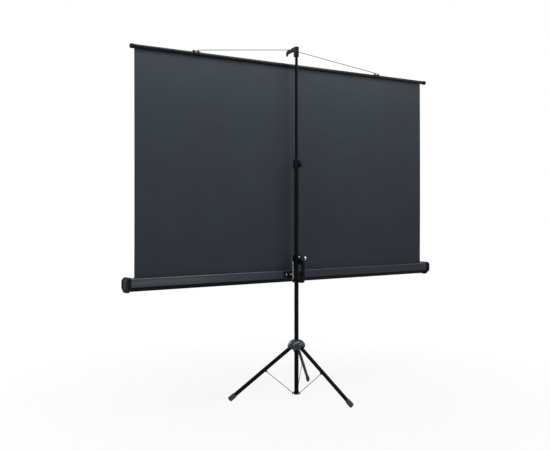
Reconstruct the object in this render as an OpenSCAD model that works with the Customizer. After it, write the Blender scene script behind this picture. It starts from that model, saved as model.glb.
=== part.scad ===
// Tripod projection screen, seen from the front along +Y.
// The mast axis is Z, the floor is z = 0 and the viewers sit on the -Y side. Millimetres.

/* [Screen cloth] */
// Width of the cloth
fabric_w = 2270; // [1400:10:2600]
// Height of the top bar's centre above the case's centre
fabric_drop = 1360; // [1320:5:1500]
// Thickness of the cloth
fabric_t = 0.8; // [0.4:0.1:1.2]
// Distance of the cloth in front of the mast axis
screen_reach = 63; // [61:0.5:75]
// Sideways offset of the screen's centre from the mast
screen_shift = -35; // [-60:1:60]
// Height at which the cloth is divided into a lower and an upper panel
fabric_split = 1425; // [1380:5:1440]

/* [Case] */
// Height of the case's centre above the floor
case_z = 770; // [740:5:820]
// Height and depth of the case across its flats
case_h = 76; // [72:1:90]
// Wall thickness of the case
case_wall = 1.5; // [1:0.1:2.5]
// Height of the slanted lower sides of the case
case_slant = 24; // [16:1:28]
// Height of the chamfers along the top of the case
case_chamfer = 5; // [3:0.5:8]
// Length of the case beyond each edge of the cloth
case_overhang = 44; // [40:1:70]
// Width of the slot that the cloth leaves by
slot_w = 12; // [8:0.5:16]
// Height of an end cap above the case's own faces
cap_proud = 6; // [3:0.5:9]
// Length of an end cap beyond the case
cap_out = 14; // [12:1:30]
// Length of an end cap that laps over the case
cap_lap = 8; // [7:1:16]
// Outer diameter of the roller tube
roller_d = 32; // [26:1:32]
// Wall thickness of the roller tube
roller_wall = 1.2; // [0.8:0.1:2]
// Thickness of the turns of cloth left on the roller
wrap_t = 1.5; // [0.8:0.1:2]

/* [Top bar and wire] */
// Sideways offset of the top bar's centre from the mast
bar_shift = -48; // [-50:1:-30]
// Outer diameter of the top bar
bar_d = 24; // [20:1:30]
// Wall thickness of the top bar
bar_wall = 1.5; // [1:0.1:2.5]
// Length of the bar tube beyond each edge of the cloth
bar_overhang = 23; // [15:1:40]
// Diameter of the bar's end caps
bar_cap_d = 28; // [26:0.5:36]
// Length of one of the bar's end caps
bar_cap_len = 23; // [16:1:35]
// Diameter of the hanging wire
wire_d = 3.5; // [2:0.25:4]
// Sideways offset of the middle between the wire's two ends from the mast
wire_shift = -23; // [-60:1:0]
// Half the distance between the wire's two ends
wire_half = 702; // [500:1:800]
// Height of the wire's ends above the bar's centre
wire_foot_up = 25; // [22:0.5:30]
// Height of the wire's middle above the bar's centre
wire_rise = 103; // [95:1:115]
// Length of a wire bracket along the bar
bracket_len = 54; // [50:1:70]

/* [Mast] */
// Outer diameter of the mast tube
mast_d = 28; // [26:0.5:29]
// Wall thickness of the mast tube
mast_wall = 1.5; // [1:0.1:2]
// Height of the mast tube's lower end above the floor
mast_bottom = 16; // [14:0.5:20]
// Height of the mast tube's upper end above the floor
mast_top = 1480; // [1475:1:1520]
// Outer diameter of the sliding extension tube
ext_d = 19; // [16:0.5:20]
// Wall thickness of the extension tube
ext_wall = 1.2; // [0.8:0.1:1.6]
// Length of the extension tube inside the mast when it is drawn out
ext_insert = 108; // [95:1:160]
// Outer diameter of the lock collar
collar_d = 42; // [40:1:50]
// Height of the lock collar
collar_h = 58; // [50:1:70]
// Diameter of the collar's lock knob
knob_d = 46; // [34:1:48]
// Turn of the lock knob about the mast, in degrees
knob_turn = 55; // [0:1:90]

/* [Hook head] */
// Width of the hook block
hook_w = 24; // [23:0.5:32]
// Depth of the hook block
hook_depth = 32; // [28:1:40]
// Height of the hook block
hook_h = 64; // [56:1:80]
// Reach of the beak's tip in front of the mast axis
beak_reach = 107; // [100:1:120]
// Width of the beak
beak_w = 12; // [8:0.5:16]

/* [Carriage] */
// Width of the carriage blocks
carriage_w = 40; // [38:1:50]
// Height of the upper clamp block
clamp_h = 39; // [36:1:46]
// Height of the lower guide block
guide_h = 15; // [12:1:20]
// Width of the zinc-plated pivot plate
plate_w = 38; // [37:0.5:44]
// Sheet thickness of the pivot plate
plate_t = 3; // [2:0.5:4]
// Depth of the pivot plate's side flanges
flange_depth = 15; // [10:0.5:18]
// Width of the saddle on the back of the case
saddle_w = 156; // [120:1:200]
// Height of the saddle
saddle_h = 39; // [34:1:42]
// Width and depth of the handle's grip
grip_w = 18; // [14:0.5:24]
// Distance of the handle's grip behind the mast axis
grip_y = 60; // [50:0.5:68]

/* [Tripod] */
// Radius of the circle that the feet stand on
foot_spread = 434; // [380:1:480]
// Turn of the tripod about the mast, in degrees
tripod_turn = 13; // [0:1:60]
// Height of the leg hinges above the floor
hinge_z = 312; // [300:1:340]
// Radius of the leg hinges about the mast axis
hinge_r = 42; // [41:0.5:46]
// Height of a leg tube's oval section
leg_h = 26; // [20:0.5:27]
// Width of a leg tube's oval section
leg_w = 16; // [12:0.5:17]
// Wall thickness of a leg tube
leg_wall = 1.5; // [1:0.1:2]
// Distance from a leg's hinge to its brace, along the leg
lug_along = 212; // [190:1:230]
// Distance of the brace pivot under the leg's centre line
lug_drop = 20; // [19.5:0.1:22]
// Diameter of a brace rod
brace_d = 4; // [3:0.25:5]
// Radius of the brace pivots about the mast axis, at the mast's foot
spider_r = 23; // [22.5:0.1:25]
// Height of the brace pivots at the mast's foot
spider_z = 22; // [21:0.5:26]
// Height of a foot's oval section
foot_h = 34; // [31:0.5:40]
// Width of a foot's oval section
foot_w = 22; // [20:0.5:26]
// Length of a foot's sleeve
foot_len = 36; // [28:1:50]

/* [Hub] */
// Diameter of the hub cover
hub_d = 115; // [112:1:130]
// Height of the full oval that the hub cover's dome is cut from
hub_oval = 88; // [80:1:100]
// Height of the full oval that the cover's underside is cut from
hub_bowl = 60; // [54:1:70]
// Wall thickness of the hub cover
hub_wall = 2.5; // [1.5:0.1:3.5]

/* [Clearances] */
// Gap between parts that slide along a tube
slide_gap = 0.3; // [0.3:0.05:0.6]
// Radial gap of a pin in a hole that turns on it
pin_gap = 0.1; // [0.05:0.01:0.1]
// Side gap between a swinging part and its fork
fork_gap = 0.4; // [0.3:0.05:0.8]

/* [Hidden] */
$fn = 64;

// Derived places
bar_z = case_z + fabric_drop;
cloth_y = -screen_reach;
case_y = cloth_y - 3;
case_half = fabric_w / 2 + case_overhang;
case_back = case_y + case_h / 2;
cap_inset = 4;
bar_half = fabric_w / 2 + bar_overhang;
bar_cap_lap = 8;
wrap_r = roller_d / 2 + wrap_t;
roller_y = cloth_y - fabric_t / 2 - slide_gap - wrap_r;
roller_half = fabric_w / 2 + 5;
spring_shaft_r = 5;
idler_r = 4;
plug_len = 25;
plug_flange = 3;
spring_r = 9;
spring_len = 280;
spring_end = roller_half - 40;
shaft_beyond = 10;
shaft_boss_r = 9;
wire_z = bar_z + wire_rise;
wire_flat = 8;
wire_mid_r = wire_d / 2 + 0.25;

mast_r = mast_d / 2;
ext_r = ext_d / 2;
mast_bore_r = mast_r - mast_wall;
ext_bottom = mast_top - ext_insert;
guide_ring_h = 30;
collar_z = mast_top - 20;
knob_z = mast_top + 10;
knob_t = 10;
knob_y = 23;
boss_end = 22;
lock_screw_r = 3;

hook_top = wire_z + 10;
hook_z = hook_top - hook_h;
hook_front = 18;
ext_top = hook_top - 18;
hook_pin_r = 2;

clamp_up = 96;
guide_down = 39;
bolt_up = 11;
clamp_z = case_z + clamp_up;
guide_z = case_z - guide_down;
block_front = 18.5;
clamp_back = 34;
guide_back = 22;
bolt_z = case_z + bolt_up;
bolt_head_r = 9;
bolt_r = 5;
plate_back = -block_front;
plate_front = plate_back - plate_t;
saddle_z = bolt_z - saddle_h / 2;
saddle_screw_x = [-62, -27, 27, 62];
saddle_screw_r = 2;
arm_drop = 16;
arm_up_z = clamp_z - arm_drop;
arm_gap_y = 20;
handle_corner = 18;
arm_up_h = 28;
arm_low_h = 20;
grip_back = grip_y + grip_w + 2;
lever_slot_y = 18.3;
lever_slot_drop = 7.5;
lever_pin_y = 26.5;
lever_pin_z = clamp_z + clamp_h - 9;
lever_pin_r = 2.5;
lever_w = 14;
lever_t = 3;
lever_end_y = grip_back + 8;
lever_bend_r = 11;

// Tripod linkage, worked out in the plane of one leg
foot_flat = 0.8;
foot_r = foot_w / 2;
foot_ball = foot_h / 2 - foot_r;
foot_up = foot_r - foot_flat;
foot_line = norm([foot_spread - hinge_r, hinge_z - foot_up]);
spread = atan2(foot_spread - hinge_r, hinge_z - foot_up) + asin(foot_ball / foot_line);
leg_len = sqrt(foot_line * foot_line - foot_ball * foot_ball);
lug_r = hinge_r + lug_along * sin(spread) - lug_drop * cos(spread);
lug_z = hinge_z - lug_along * cos(spread) - lug_drop * sin(spread);
brace_len = norm([lug_r - spider_r, lug_z - spider_z]);
brace_lean = atan2(lug_r - spider_r, lug_z - spider_z);
leg_top = 10;
ear_t = 3;
ear_r = 9;
leg_pin_r = 3;
eye_r = 4.5;
eye_t = 3;
rivet_r = 1.7;
tongue_len = 8;
lug_ear_t = 2;
spider_ear_t = 2.7;
spider_ear_r = 5;
spider_wall = 3.5;
spider_foot = mast_bottom - 3;
spider_cup = 18;
slot_r = 2.7;
brace_pin_r = 2;

// Hub levels
hub_z = hinge_z + 12;
hub_low = hinge_z - 16;
hub_bore_r = mast_r + 0.8;
hub_edge = -52;
hub_steps = 16;
hub_door = hinge_z + 12;
hub_door_w = 29;
bush_r = mast_r + 3.2;
bush_h = 49;
yoke_r = mast_r + 8;
yoke_h = 45;
yoke_flange_r = 30;
yoke_flange_t = 4;
boss_ring = 26;
boss_r = 4;
hub_screw_r = 2;
stop_ring_h = 10;
seat_gap = 0.05;

// Colours
black_paint = "#16171a";
black_plastic = "#1b1c1f";
case_paint = "#4a535b";
cloth_grey = "#3a3e42";
zinc = "#9a9f9e";
steel = "#b9bcbd";
nylon = "#d8d5cb";
rubber_black = "#0e0e0f";

// Helpers
module tube(outer_r, inner_r, h) {
    difference() {
        cylinder(r = outer_r, h = h);
        translate([0, 0, -1]) cylinder(r = inner_r, h = h + 2);
    }
}

module rod_x(r, x0, x1) {
    translate([x0, 0, 0]) rotate([0, 90, 0]) cylinder(r = r, h = x1 - x0);
}

module rod_y(r, y0, y1) {
    translate([0, y0, 0]) rotate([-90, 0, 0]) cylinder(r = r, h = y1 - y0);
}

module rod_between(p, q, r) {
    d = q - p;
    translate(p) rotate([0, acos(d[2] / norm(d)), atan2(d[1], d[0])]) cylinder(r = r, h = norm(d));
}

module oval(tall, wide) {
    r = wide / 2;
    reach = tall / 2 - r;
    translate([0, reach]) circle(r = r);
    translate([0, -reach]) circle(r = r);
    square([wide, 2 * reach], center = true);
}

module rounded_rect(x0, y0, x1, y1, r) {
    translate([x0 + r, y0]) square([x1 - x0 - 2 * r, y1 - y0]);
    translate([x0, y0 + r]) square([x1 - x0, y1 - y0 - 2 * r]);
    for (x = [x0 + r, x1 - r], y = [y0 + r, y1 - r]) translate([x, y]) circle(r = r);
}

// Extrudes a flat shape drawn in Y and Z along X
module side_profile(w) {
    rotate([90, 0, 90]) linear_extrude(height = w, center = true) children();
}

// Oval bar along X, tall in Z
module oval_bar(tall, wide, x0, x1) {
    translate([x0, 0, 0]) rotate([90, 0, 90]) linear_extrude(height = x1 - x0) oval(tall, wide);
}

// Turns X to the bearing of leg i
module at_leg(i) {
    rotate([0, 0, 90 + tripod_turn + 120 * i]) children();
}

// Frame of leg i: X runs from its hinge to its foot, Z is the leg's upper side
module along_leg(i) {
    at_leg(i) translate([hinge_r, 0, hinge_z]) rotate([0, 90 - spread, 0]) children();
}

// Outline of the case in Y and Z about its centre, moved in by g
function case_outline(g) =
    let (k = sqrt(2) - 1,
         h = case_h / 2 - g,
         t = case_h / 2 - case_chamfer - k * g,
         b = case_h / 2 - case_slant - k * g)
    [[h, -b], [h, t], [t, h], [-t, h], [-h, t], [-h, -b], [-b, -h], [b, -h]];

// Case section along X from x0 to x1, measured from the screen's centre
module case_bar(g, x0, x1) {
    translate([screen_shift + (x0 + x1) / 2, case_y, case_z])
        side_profile(x1 - x0) polygon(case_outline(g));
}

// Mast and collar
module mast_tube() {
    color(black_paint) translate([0, 0, mast_bottom]) tube(mast_r, mast_bore_r, mast_top - mast_bottom);
}

module collar_bush() {
    bush_z = ext_bottom + guide_ring_h + 0.5;
    color(nylon) translate([0, 0, bush_z]) tube(mast_bore_r, ext_r + slide_gap, mast_top - bush_z);
}

module lock_collar() {
    r = collar_d / 2;
    lap = mast_top - collar_z;
    bore_r = ext_r + 0.5;
    color(black_plastic) difference() {
        union() {
            translate([0, 0, collar_z]) rotate_extrude()
                polygon([[mast_r, 0], [r - 3, 0], [r, 3], [r, collar_h - 3], [r - 3, collar_h],
                         [bore_r, collar_h], [bore_r, lap], [mast_r, lap]]);
            rotate([0, 0, knob_turn]) translate([0, 0, knob_z]) rod_y(10, bore_r + 4, boss_end);
        }
        rotate([0, 0, knob_turn]) translate([0, 0, knob_z])
            rod_y(lock_screw_r + pin_gap, 0, boss_end + 1);
    }
}

module collar_knob() {
    lobes = 6;
    lobe_r = 4.5;
    core_r = knob_d / 2 - 3;
    color(black_plastic) rotate([0, 0, knob_turn]) translate([0, 0, knob_z]) {
        rod_y(lock_screw_r, ext_r + fork_gap, knob_y + 1);
        translate([0, knob_y, 0]) rotate([-90, 0, 0]) linear_extrude(height = knob_t) {
            circle(r = core_r);
            for (i = [0 : lobes - 1]) rotate(360 / lobes * i)
                translate([knob_d / 2 - lobe_r, 0]) circle(r = lobe_r);
        }
    }
}

module hub_stop_ring() {
    top = hub_low - slide_gap;
    color(zinc) translate([0, 0, top - stop_ring_h]) tube(mast_r + 5, mast_r, stop_ring_h);
}

// One ear of the spider in X and Z, with its slot open at the bottom
module spider_ear() {
    root = mast_r + 1;
    low = spider_foot + 1;
    difference() {
        union() {
            translate([root, low]) square([spider_r - root, spider_z + spider_ear_r - low]);
            translate([root, low]) square([spider_r + spider_ear_r - root, spider_z - low]);
            translate([spider_r, spider_z]) circle(r = spider_ear_r);
        }
        translate([spider_r, spider_z]) circle(r = slot_r);
        translate([spider_r - slot_r, low - 1]) square([2 * slot_r, spider_z - low + 1]);
    }
}

module brace_spider() {
    ear_in = brace_d / 2 + fork_gap;
    color(black_paint) difference() {
        union() {
            translate([0, 0, spider_foot]) cylinder(r = mast_r + spider_wall, h = spider_cup);
            for (i = [0 : 2], y = [ear_in + spider_ear_t, -ear_in]) at_leg(i) translate([0, y, 0])
                rotate([90, 0, 0]) linear_extrude(height = spider_ear_t) spider_ear();
        }
        translate([0, 0, mast_bottom]) cylinder(r = mast_r, h = spider_cup);
    }
}

// Hub: outline of the cover in radius and height about its widest place, moved in by g
function cover_outline(g) =
    let (r = hub_d / 2 - g, up = hub_oval / 2 - g, down = hub_bowl / 2 - g, top = acos(hub_bore_r / r))
    [for (k = [0 : hub_steps]) let (a = hub_edge + (top - hub_edge) * k / hub_steps)
        [r * cos(a), (a > 0 ? up : down) * sin(a)]];

module hub_cover() {
    r = hub_d / 2;
    h = hub_oval / 2;
    inner = cover_outline(hub_wall);
    section = concat(cover_outline(0), [for (k = [hub_steps : -1 : 0]) inner[k]]);
    flange_top = hub_low + yoke_h;
    boss_top = hub_z + h * sqrt(1 - pow((boss_ring + boss_r) / r, 2)) - 0.3;
    color(black_plastic) difference() {
        union() {
            translate([0, 0, hub_z]) rotate_extrude() polygon(section);
            for (i = [0 : 2]) at_leg(i + 0.5)
                translate([boss_ring, 0, flange_top]) cylinder(r = boss_r, h = boss_top - flange_top);
        }
        for (i = [0 : 2]) {
            at_leg(i) translate([20, -hub_door_w / 2, hub_z - h])
                cube([r, hub_door_w, hub_door - hub_z + h]);
            at_leg(i + 0.5) translate([boss_ring, 0, flange_top - 1])
                cylinder(r = hub_screw_r + seat_gap, h = 12);
        }
    }
}

module hub_bush() {
    color(nylon) translate([0, 0, hub_low]) tube(bush_r, mast_r + slide_gap, bush_h);
}

module hub_yoke() {
    ear_in = leg_w / 2 + fork_gap;
    color(black_paint) difference() {
        union() {
            translate([0, 0, hub_low]) cylinder(r = yoke_r, h = yoke_h);
            translate([0, 0, hub_low + yoke_h - yoke_flange_t])
                cylinder(r = yoke_flange_r, h = yoke_flange_t);
            for (i = [0 : 2], s = [-1, 1]) at_leg(i) {
                y0 = s > 0 ? ear_in : -ear_in - ear_t;
                translate([bush_r, y0, hinge_z - ear_r]) cube([hinge_r - bush_r, ear_t, 2 * ear_r]);
                translate([hinge_r, 0, hinge_z]) rod_y(ear_r, y0, y0 + ear_t);
            }
        }
        translate([0, 0, hub_low - 1]) cylinder(r = bush_r, h = yoke_h + 2);
        for (i = [0 : 2]) {
            at_leg(i) translate([hinge_r, 0, hinge_z]) rod_y(leg_pin_r + seat_gap, -20, 20);
            at_leg(i + 0.5) translate([boss_ring, 0, hub_low])
                cylinder(r = hub_screw_r + seat_gap, h = yoke_h + 1);
        }
    }
}

module leg_pins() {
    face = leg_w / 2 + fork_gap + ear_t;
    color(steel) for (i = [0 : 2]) at_leg(i) translate([hinge_r, 0, hinge_z]) {
        rod_y(leg_pin_r, -face, face);
        for (y = [-face - 1.5, face]) rod_y(5, y, y + 1.5);
    }
}

module hub_screws() {
    under = hub_low + yoke_h - yoke_flange_t;
    color(steel) for (i = [0 : 2]) at_leg(i + 0.5) translate([boss_ring, 0, 0]) {
        translate([0, 0, under - 2]) cylinder(r = 3.5, h = 2);
        translate([0, 0, under]) cylinder(r = hub_screw_r, h = 13);
    }
}

// Legs
module leg(i) {
    color(black_paint) along_leg(i) difference() {
        oval_bar(leg_h, leg_w, -leg_top, leg_len - foot_ball);
        oval_bar(leg_h - 2 * leg_wall, leg_w - 2 * leg_wall, -leg_top - 1, leg_len);
        rod_y(leg_pin_r + pin_gap, -leg_w, leg_w);
    }
}

module foot(i) {
    color(rubber_black) difference() {
        along_leg(i) difference() {
            union() {
                oval_bar(foot_h, foot_w, leg_len - foot_len, leg_len);
                translate([leg_len, 0, -foot_ball]) cylinder(r = foot_r, h = 2 * foot_ball);
                for (z = [-foot_ball, foot_ball]) translate([leg_len, 0, z]) sphere(r = foot_r);
            }
            oval_bar(leg_h, leg_w, leg_len - foot_len - 1, leg_len - foot_ball);
        }
        translate([-2 * foot_spread, -2 * foot_spread, -50])
            cube([4 * foot_spread, 4 * foot_spread, 50]);
    }
}

module leg_lug(i) {
    ear_in = eye_t / 2 + fork_gap;
    under = leg_h / 2 + 2;
    color(black_paint) along_leg(i) translate([lug_along, 0, 0]) difference() {
        union() {
            translate([-7, -5.2, -under]) cube([14, 10.4, 8]);
            for (y0 = [ear_in, -ear_in - lug_ear_t]) {
                translate([-eye_r, y0, -lug_drop]) cube([2 * eye_r, lug_ear_t, lug_drop - under + 1]);
                translate([0, 0, -lug_drop]) rod_y(eye_r, y0, y0 + lug_ear_t);
            }
        }
        oval_bar(leg_h, leg_w, -20, 20);
        translate([0, 0, -lug_drop]) rod_y(rivet_r + seat_gap, -10, 10);
    }
}

module lug_rivet(i) {
    face = eye_t / 2 + fork_gap + lug_ear_t;
    color(steel) along_leg(i) translate([lug_along, 0, -lug_drop]) {
        rod_y(rivet_r, -face, face);
        for (y = [-face - 1.2, face]) rod_y(3, y, y + 1.2);
    }
}

// Frame of brace i: X runs from its upper eye to its lower eye
module along_brace(i) {
    at_leg(i) translate([lug_r, 0, lug_z]) rotate([0, 90 + brace_lean, 0]) children();
}

module brace(i) {
    color(zinc) along_brace(i) difference() {
        union() {
            rod_x(brace_d / 2, tongue_len, brace_len - tongue_len);
            for (x = [0, brace_len]) translate([x, 0, 0]) rod_y(eye_r, -eye_t / 2, eye_t / 2);
            for (x = [0, brace_len - tongue_len - 1])
                translate([x, -eye_t / 2, -brace_d / 2]) cube([tongue_len + 1, eye_t, brace_d]);
        }
        rod_y(rivet_r + pin_gap, -5, 5);
        translate([brace_len, 0, 0]) rod_y(brace_pin_r + seat_gap, -5, 5);
    }
}

module brace_pin(i) {
    face = brace_d / 2 + fork_gap + spider_ear_t + slide_gap;
    color(steel) along_brace(i) translate([brace_len, 0, 0]) {
        rod_y(brace_pin_r, -face, face);
        for (y = [-face - 1.2, face]) rod_y(3.4, y, y + 1.2);
    }
}

// Extension tube and hook head
module extension_tube() {
    color(black_paint) difference() {
        translate([0, 0, ext_bottom]) tube(ext_r, ext_r - ext_wall, ext_top - ext_bottom);
        translate([0, 0, hook_z + 12]) rod_x(hook_pin_r + seat_gap, -ext_d, ext_d);
    }
}

module extension_plug() {
    color(nylon) translate([0, 0, ext_bottom]) tube(mast_bore_r - slide_gap, ext_r, guide_ring_h);
}

module hook_pin() {
    color(steel) translate([0, 0, hook_z + 12]) rod_x(hook_pin_r, -hook_w / 2 - 1, hook_w / 2 + 1);
}

module beak_outline() {
    tip = -beak_reach;
    polygon([[-hook_front + 2, 10], [cloth_y + 18, 9], [cloth_y + 6, 4], [cloth_y - 7, 3.5],
             [tip + 11, 0], [tip + 3, -6], [tip, -14], [tip, -24], [tip + 2.5, -34],
             [tip + 7, -34], [tip + 10, -25], [tip + 26, -23.5], [cloth_y + 3, -19],
             [-hook_front + 2, -19]]);
    translate([tip + 4.75, -34]) circle(r = 2.5);
}

module hook_head() {
    notch_r = wire_mid_r + seat_gap;
    color(black_plastic) difference() {
        union() {
            translate([0, 0, hook_z]) linear_extrude(height = hook_h)
                rounded_rect(-hook_w / 2, -hook_front, hook_w / 2, hook_depth - hook_front, 5);
            translate([0, 0, wire_z]) side_profile(beak_w) beak_outline();
        }
        translate([0, 0, hook_z - 1]) cylinder(r = ext_r + seat_gap, h = ext_top - hook_z + 1);
        translate([0, 0, hook_z + 12]) rod_x(hook_pin_r + seat_gap, -hook_w, hook_w);
        translate([0, cloth_y, wire_z]) rod_x(notch_r, -hook_w, hook_w);
        translate([-hook_w, cloth_y - notch_r, wire_z]) cube([2 * hook_w, 2 * notch_r, 20]);
    }
}

// Top bar and wire
function wire_end(s) = [wire_shift + s * wire_half, cloth_y, bar_z + wire_foot_up];
function wire_knee(s) = [s * wire_flat, cloth_y, wire_z];

module wire_bail() {
    color(zinc) {
        translate([0, cloth_y, wire_z]) rod_x(wire_mid_r, -wire_flat - 1, wire_flat + 1);
        for (s = [-1, 1]) rod_between(wire_knee(s), wire_end(s), wire_d / 2);
    }
}

module wire_brackets() {
    ferrule_r = 4;
    ferrule_in = 12;
    ferrule_out = 42;
    foot_in = 8;
    stay_len = 10;
    color(zinc) for (s = [-1, 1]) {
        e = wire_end(s);
        u = (e - wire_knee(s)) / norm(e - wire_knee(s));
        x0 = s > 0 ? e[0] - foot_in : e[0] - bracket_len + foot_in;
        difference() {
            union() {
                translate([x0, cloth_y - 7, bar_z + bar_d / 2 - 6]) cube([bracket_len, 14, 9]);
                for (d = [0, 30]) translate([e[0] + s * (d + stay_len / 2), cloth_y, bar_z + bar_d / 2])
                    translate([-stay_len / 2, -2, 0]) cube([stay_len, 4, wire_foot_up - bar_d / 2 - 2]);
                rod_between(e - ferrule_in * u, e + ferrule_out * u, ferrule_r);
            }
            translate([0, cloth_y, bar_z]) rod_x(bar_d / 2, x0 - 5, x0 + bracket_len + 5);
            rod_between(e - 20 * u, e, wire_d / 2 + seat_gap);
        }
    }
}

module top_bar() {
    color(black_paint) translate([bar_shift, cloth_y, bar_z]) difference() {
        rod_x(bar_d / 2, -bar_half, bar_half);
        rod_x(bar_d / 2 - bar_wall, -bar_half - 1, bar_half + 1);
        translate([screen_shift - bar_shift - fabric_w / 2 - 2, -1.5, -bar_d])
            cube([fabric_w + 4, 3, bar_d]);
    }
}

module bar_spline() {
    color(steel) translate([bar_shift, cloth_y, bar_z - 4]) rod_x(4, -bar_half, bar_half);
}

module bar_caps() {
    color(black_plastic) translate([bar_shift, cloth_y, bar_z]) for (s = [-1, 1]) {
        x0 = s > 0 ? bar_half - bar_cap_lap : -bar_half + bar_cap_lap - bar_cap_len;
        y0 = s > 0 ? bar_half - bar_cap_lap - 1 : -bar_half;
        difference() {
            rod_x(bar_cap_d / 2, x0, x0 + bar_cap_len);
            rod_x(bar_d / 2, y0, y0 + bar_cap_lap + 1);
        }
    }
}

// Cloth
module fabric_panel(z0, z1) {
    translate([screen_shift - fabric_w / 2, cloth_y - fabric_t / 2, z0])
        cube([fabric_w, fabric_t, z1 - z0]);
}

module fabric_lower() {
    color(cloth_grey) fabric_panel(case_z, fabric_split);
}

module fabric_upper() {
    color(cloth_grey) fabric_panel(fabric_split, bar_z - 8 - slide_gap);
}

// Case
module case_housing() {
    color(case_paint) difference() {
        case_bar(0, -case_half, case_half);
        case_bar(case_wall, -case_half - 1, case_half + 1);
        translate([screen_shift - case_half - 1, cloth_y - slot_w / 2, case_z])
            cube([2 * case_half + 2, slot_w, case_h]);
        translate([0, 0, bolt_z]) rod_y(bolt_r + seat_gap, case_back - 10, case_back + 5);
        for (x = saddle_screw_x) translate([x, 0, bolt_z])
            rod_y(saddle_screw_r + seat_gap, case_back - 10, case_back + 5);
        cap_screw_places() translate([0, 0, -5]) cylinder(r = 1.5 + seat_gap, h = 20);
    }
}

// Places of the screws under the end caps, at the cap's lower face
module cap_screw_places() {
    x = case_half - cap_lap / 2;
    low = case_z - case_h / 2 - cap_proud;
    for (s = [-1, 1], y = [-8, 8]) translate([screen_shift + s * x, case_y + y, low]) children();
}

module cap_screws() {
    color(steel) cap_screw_places() {
        translate([0, 0, -1.5]) cylinder(r = 3, h = 1.5);
        cylinder(r = 1.5, h = cap_proud + case_wall + 1);
    }
}

module end_cap(s, hole_r) {
    x_in = case_half - cap_lap;
    x_out = case_half + cap_out;
    boss_x = [s * case_half, s * (x_out - 1)];
    bore_x = [s * x_in, s * (x_out - 5)];
    color(black_plastic) difference() {
        union() {
            difference() {
                case_bar(-cap_proud, min(s * x_in, s * x_out), max(s * x_in, s * x_out));
                case_bar(0, min(s * (x_in - 1), s * case_half), max(s * (x_in - 1), s * case_half));
                case_bar(cap_inset, min(s * x_in, s * (x_out - 4)), max(s * x_in, s * (x_out - 4)));
            }
            translate([screen_shift, roller_y, case_z])
                rod_x(shaft_boss_r, min(boss_x), max(boss_x));
        }
        translate([screen_shift, roller_y, case_z])
            rod_x(hole_r + seat_gap, min(bore_x), max(bore_x));
        cap_screw_places() translate([0, 0, -5]) cylinder(r = 1.5 + seat_gap, h = 20);
    }
}

// Roller
module roller_axis() {
    translate([screen_shift, roller_y, case_z]) children();
}

module roller_tube() {
    color(steel) roller_axis() difference() {
        rod_x(roller_d / 2, -roller_half, roller_half);
        rod_x(roller_d / 2 - roller_wall, -roller_half - 1, roller_half + 1);
    }
}

module roller_plugs() {
    color(black_plastic) roller_axis() for (s = [-1, 1]) {
        hole_r = (s > 0 ? spring_shaft_r : idler_r) + pin_gap;
        inner_x = s * (roller_half - plug_len);
        end_x = s * roller_half;
        flange_x = s * (roller_half + plug_flange);
        difference() {
            union() {
                rod_x(roller_d / 2 - roller_wall, min(inner_x, end_x), max(inner_x, end_x));
                rod_x(roller_d / 2, min(end_x, flange_x), max(end_x, flange_x));
            }
            rod_x(hole_r, min(inner_x, flange_x) - 1, max(inner_x, flange_x) + 1);
        }
    }
}

module fabric_roll() {
    color(cloth_grey) roller_axis() difference() {
        rod_x(wrap_r, -fabric_w / 2, fabric_w / 2);
        rod_x(roller_d / 2, -fabric_w / 2 - 1, fabric_w / 2 + 1);
    }
}

module spring_shaft() {
    color(steel) roller_axis()
        rod_x(spring_shaft_r, spring_end - spring_len - shaft_beyond, case_half + cap_out - 6);
}

module roller_spring() {
    color(steel) roller_axis() difference() {
        rod_x(spring_r, spring_end - spring_len, spring_end);
        rod_x(spring_shaft_r, spring_end - spring_len - 1, spring_end + 1);
    }
}

module idler_pin() {
    color(steel) roller_axis() rod_x(idler_r, -case_half - cap_out + 6, -roller_half + plug_len);
}

// Carriage
module mast_bore(z0, h) {
    translate([0, 0, z0 - 1]) cylinder(r = mast_r + slide_gap, h = h + 2);
}

module upper_clamp() {
    slot_half = lever_w / 2 + fork_gap;
    color(black_plastic) difference() {
        translate([0, 0, clamp_z]) linear_extrude(height = clamp_h)
            rounded_rect(-carriage_w / 2, -block_front, carriage_w / 2, clamp_back, 4);
        mast_bore(clamp_z, clamp_h);
        translate([-slot_half, lever_slot_y, lever_pin_z - lever_slot_drop])
            cube([2 * slot_half, clamp_back, clamp_h]);
        translate([0, lever_pin_y, lever_pin_z]) rod_x(lever_pin_r + seat_gap, -12, 12);
    }
}

module lower_guide() {
    color(black_plastic) difference() {
        translate([0, 0, guide_z]) linear_extrude(height = guide_h)
            rounded_rect(-carriage_w / 2, -block_front, carriage_w / 2, guide_back, 4);
        mast_bore(guide_z, guide_h);
    }
}

module pivot_plate() {
    low = guide_z + guide_h + 2;
    high = clamp_z - 2;
    color(zinc) difference() {
        union() {
            translate([-plate_w / 2, plate_front, guide_z])
                cube([plate_w, plate_t, clamp_z + clamp_h - 5 - guide_z]);
            for (x = [-plate_w / 2 + plate_t / 2, plate_w / 2 - plate_t / 2])
                translate([x, 0, 0]) side_profile(plate_t) {
                    rounded_rect(plate_front, low, plate_front + flange_depth, high, 7);
                    translate([plate_front, low]) square([7, high - low]);
                }
        }
        translate([0, 0, bolt_z]) rod_y(bolt_r + seat_gap, plate_front - 1, plate_back + 1);
    }
}

module carry_handle() {
    top = arm_up_z + arm_up_h;
    inner_r = 8;
    hide = 40;
    mid_z = (guide_z + top) / 2;
    color(black_plastic) side_profile(grip_w) difference() {
        rounded_rect(-hide / 2, guide_z, grip_back, top, handle_corner);
        rounded_rect(-hide, guide_z + arm_low_h, grip_y, arm_up_z, inner_r);
        translate([-hide, clamp_z]) square([clamp_back + hide, top]);
        translate([-hide, mid_z]) square([arm_gap_y + hide, top]);
        translate([-hide, guide_z - 1]) square([guide_back + hide, mid_z - guide_z]);
    }
}

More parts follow.
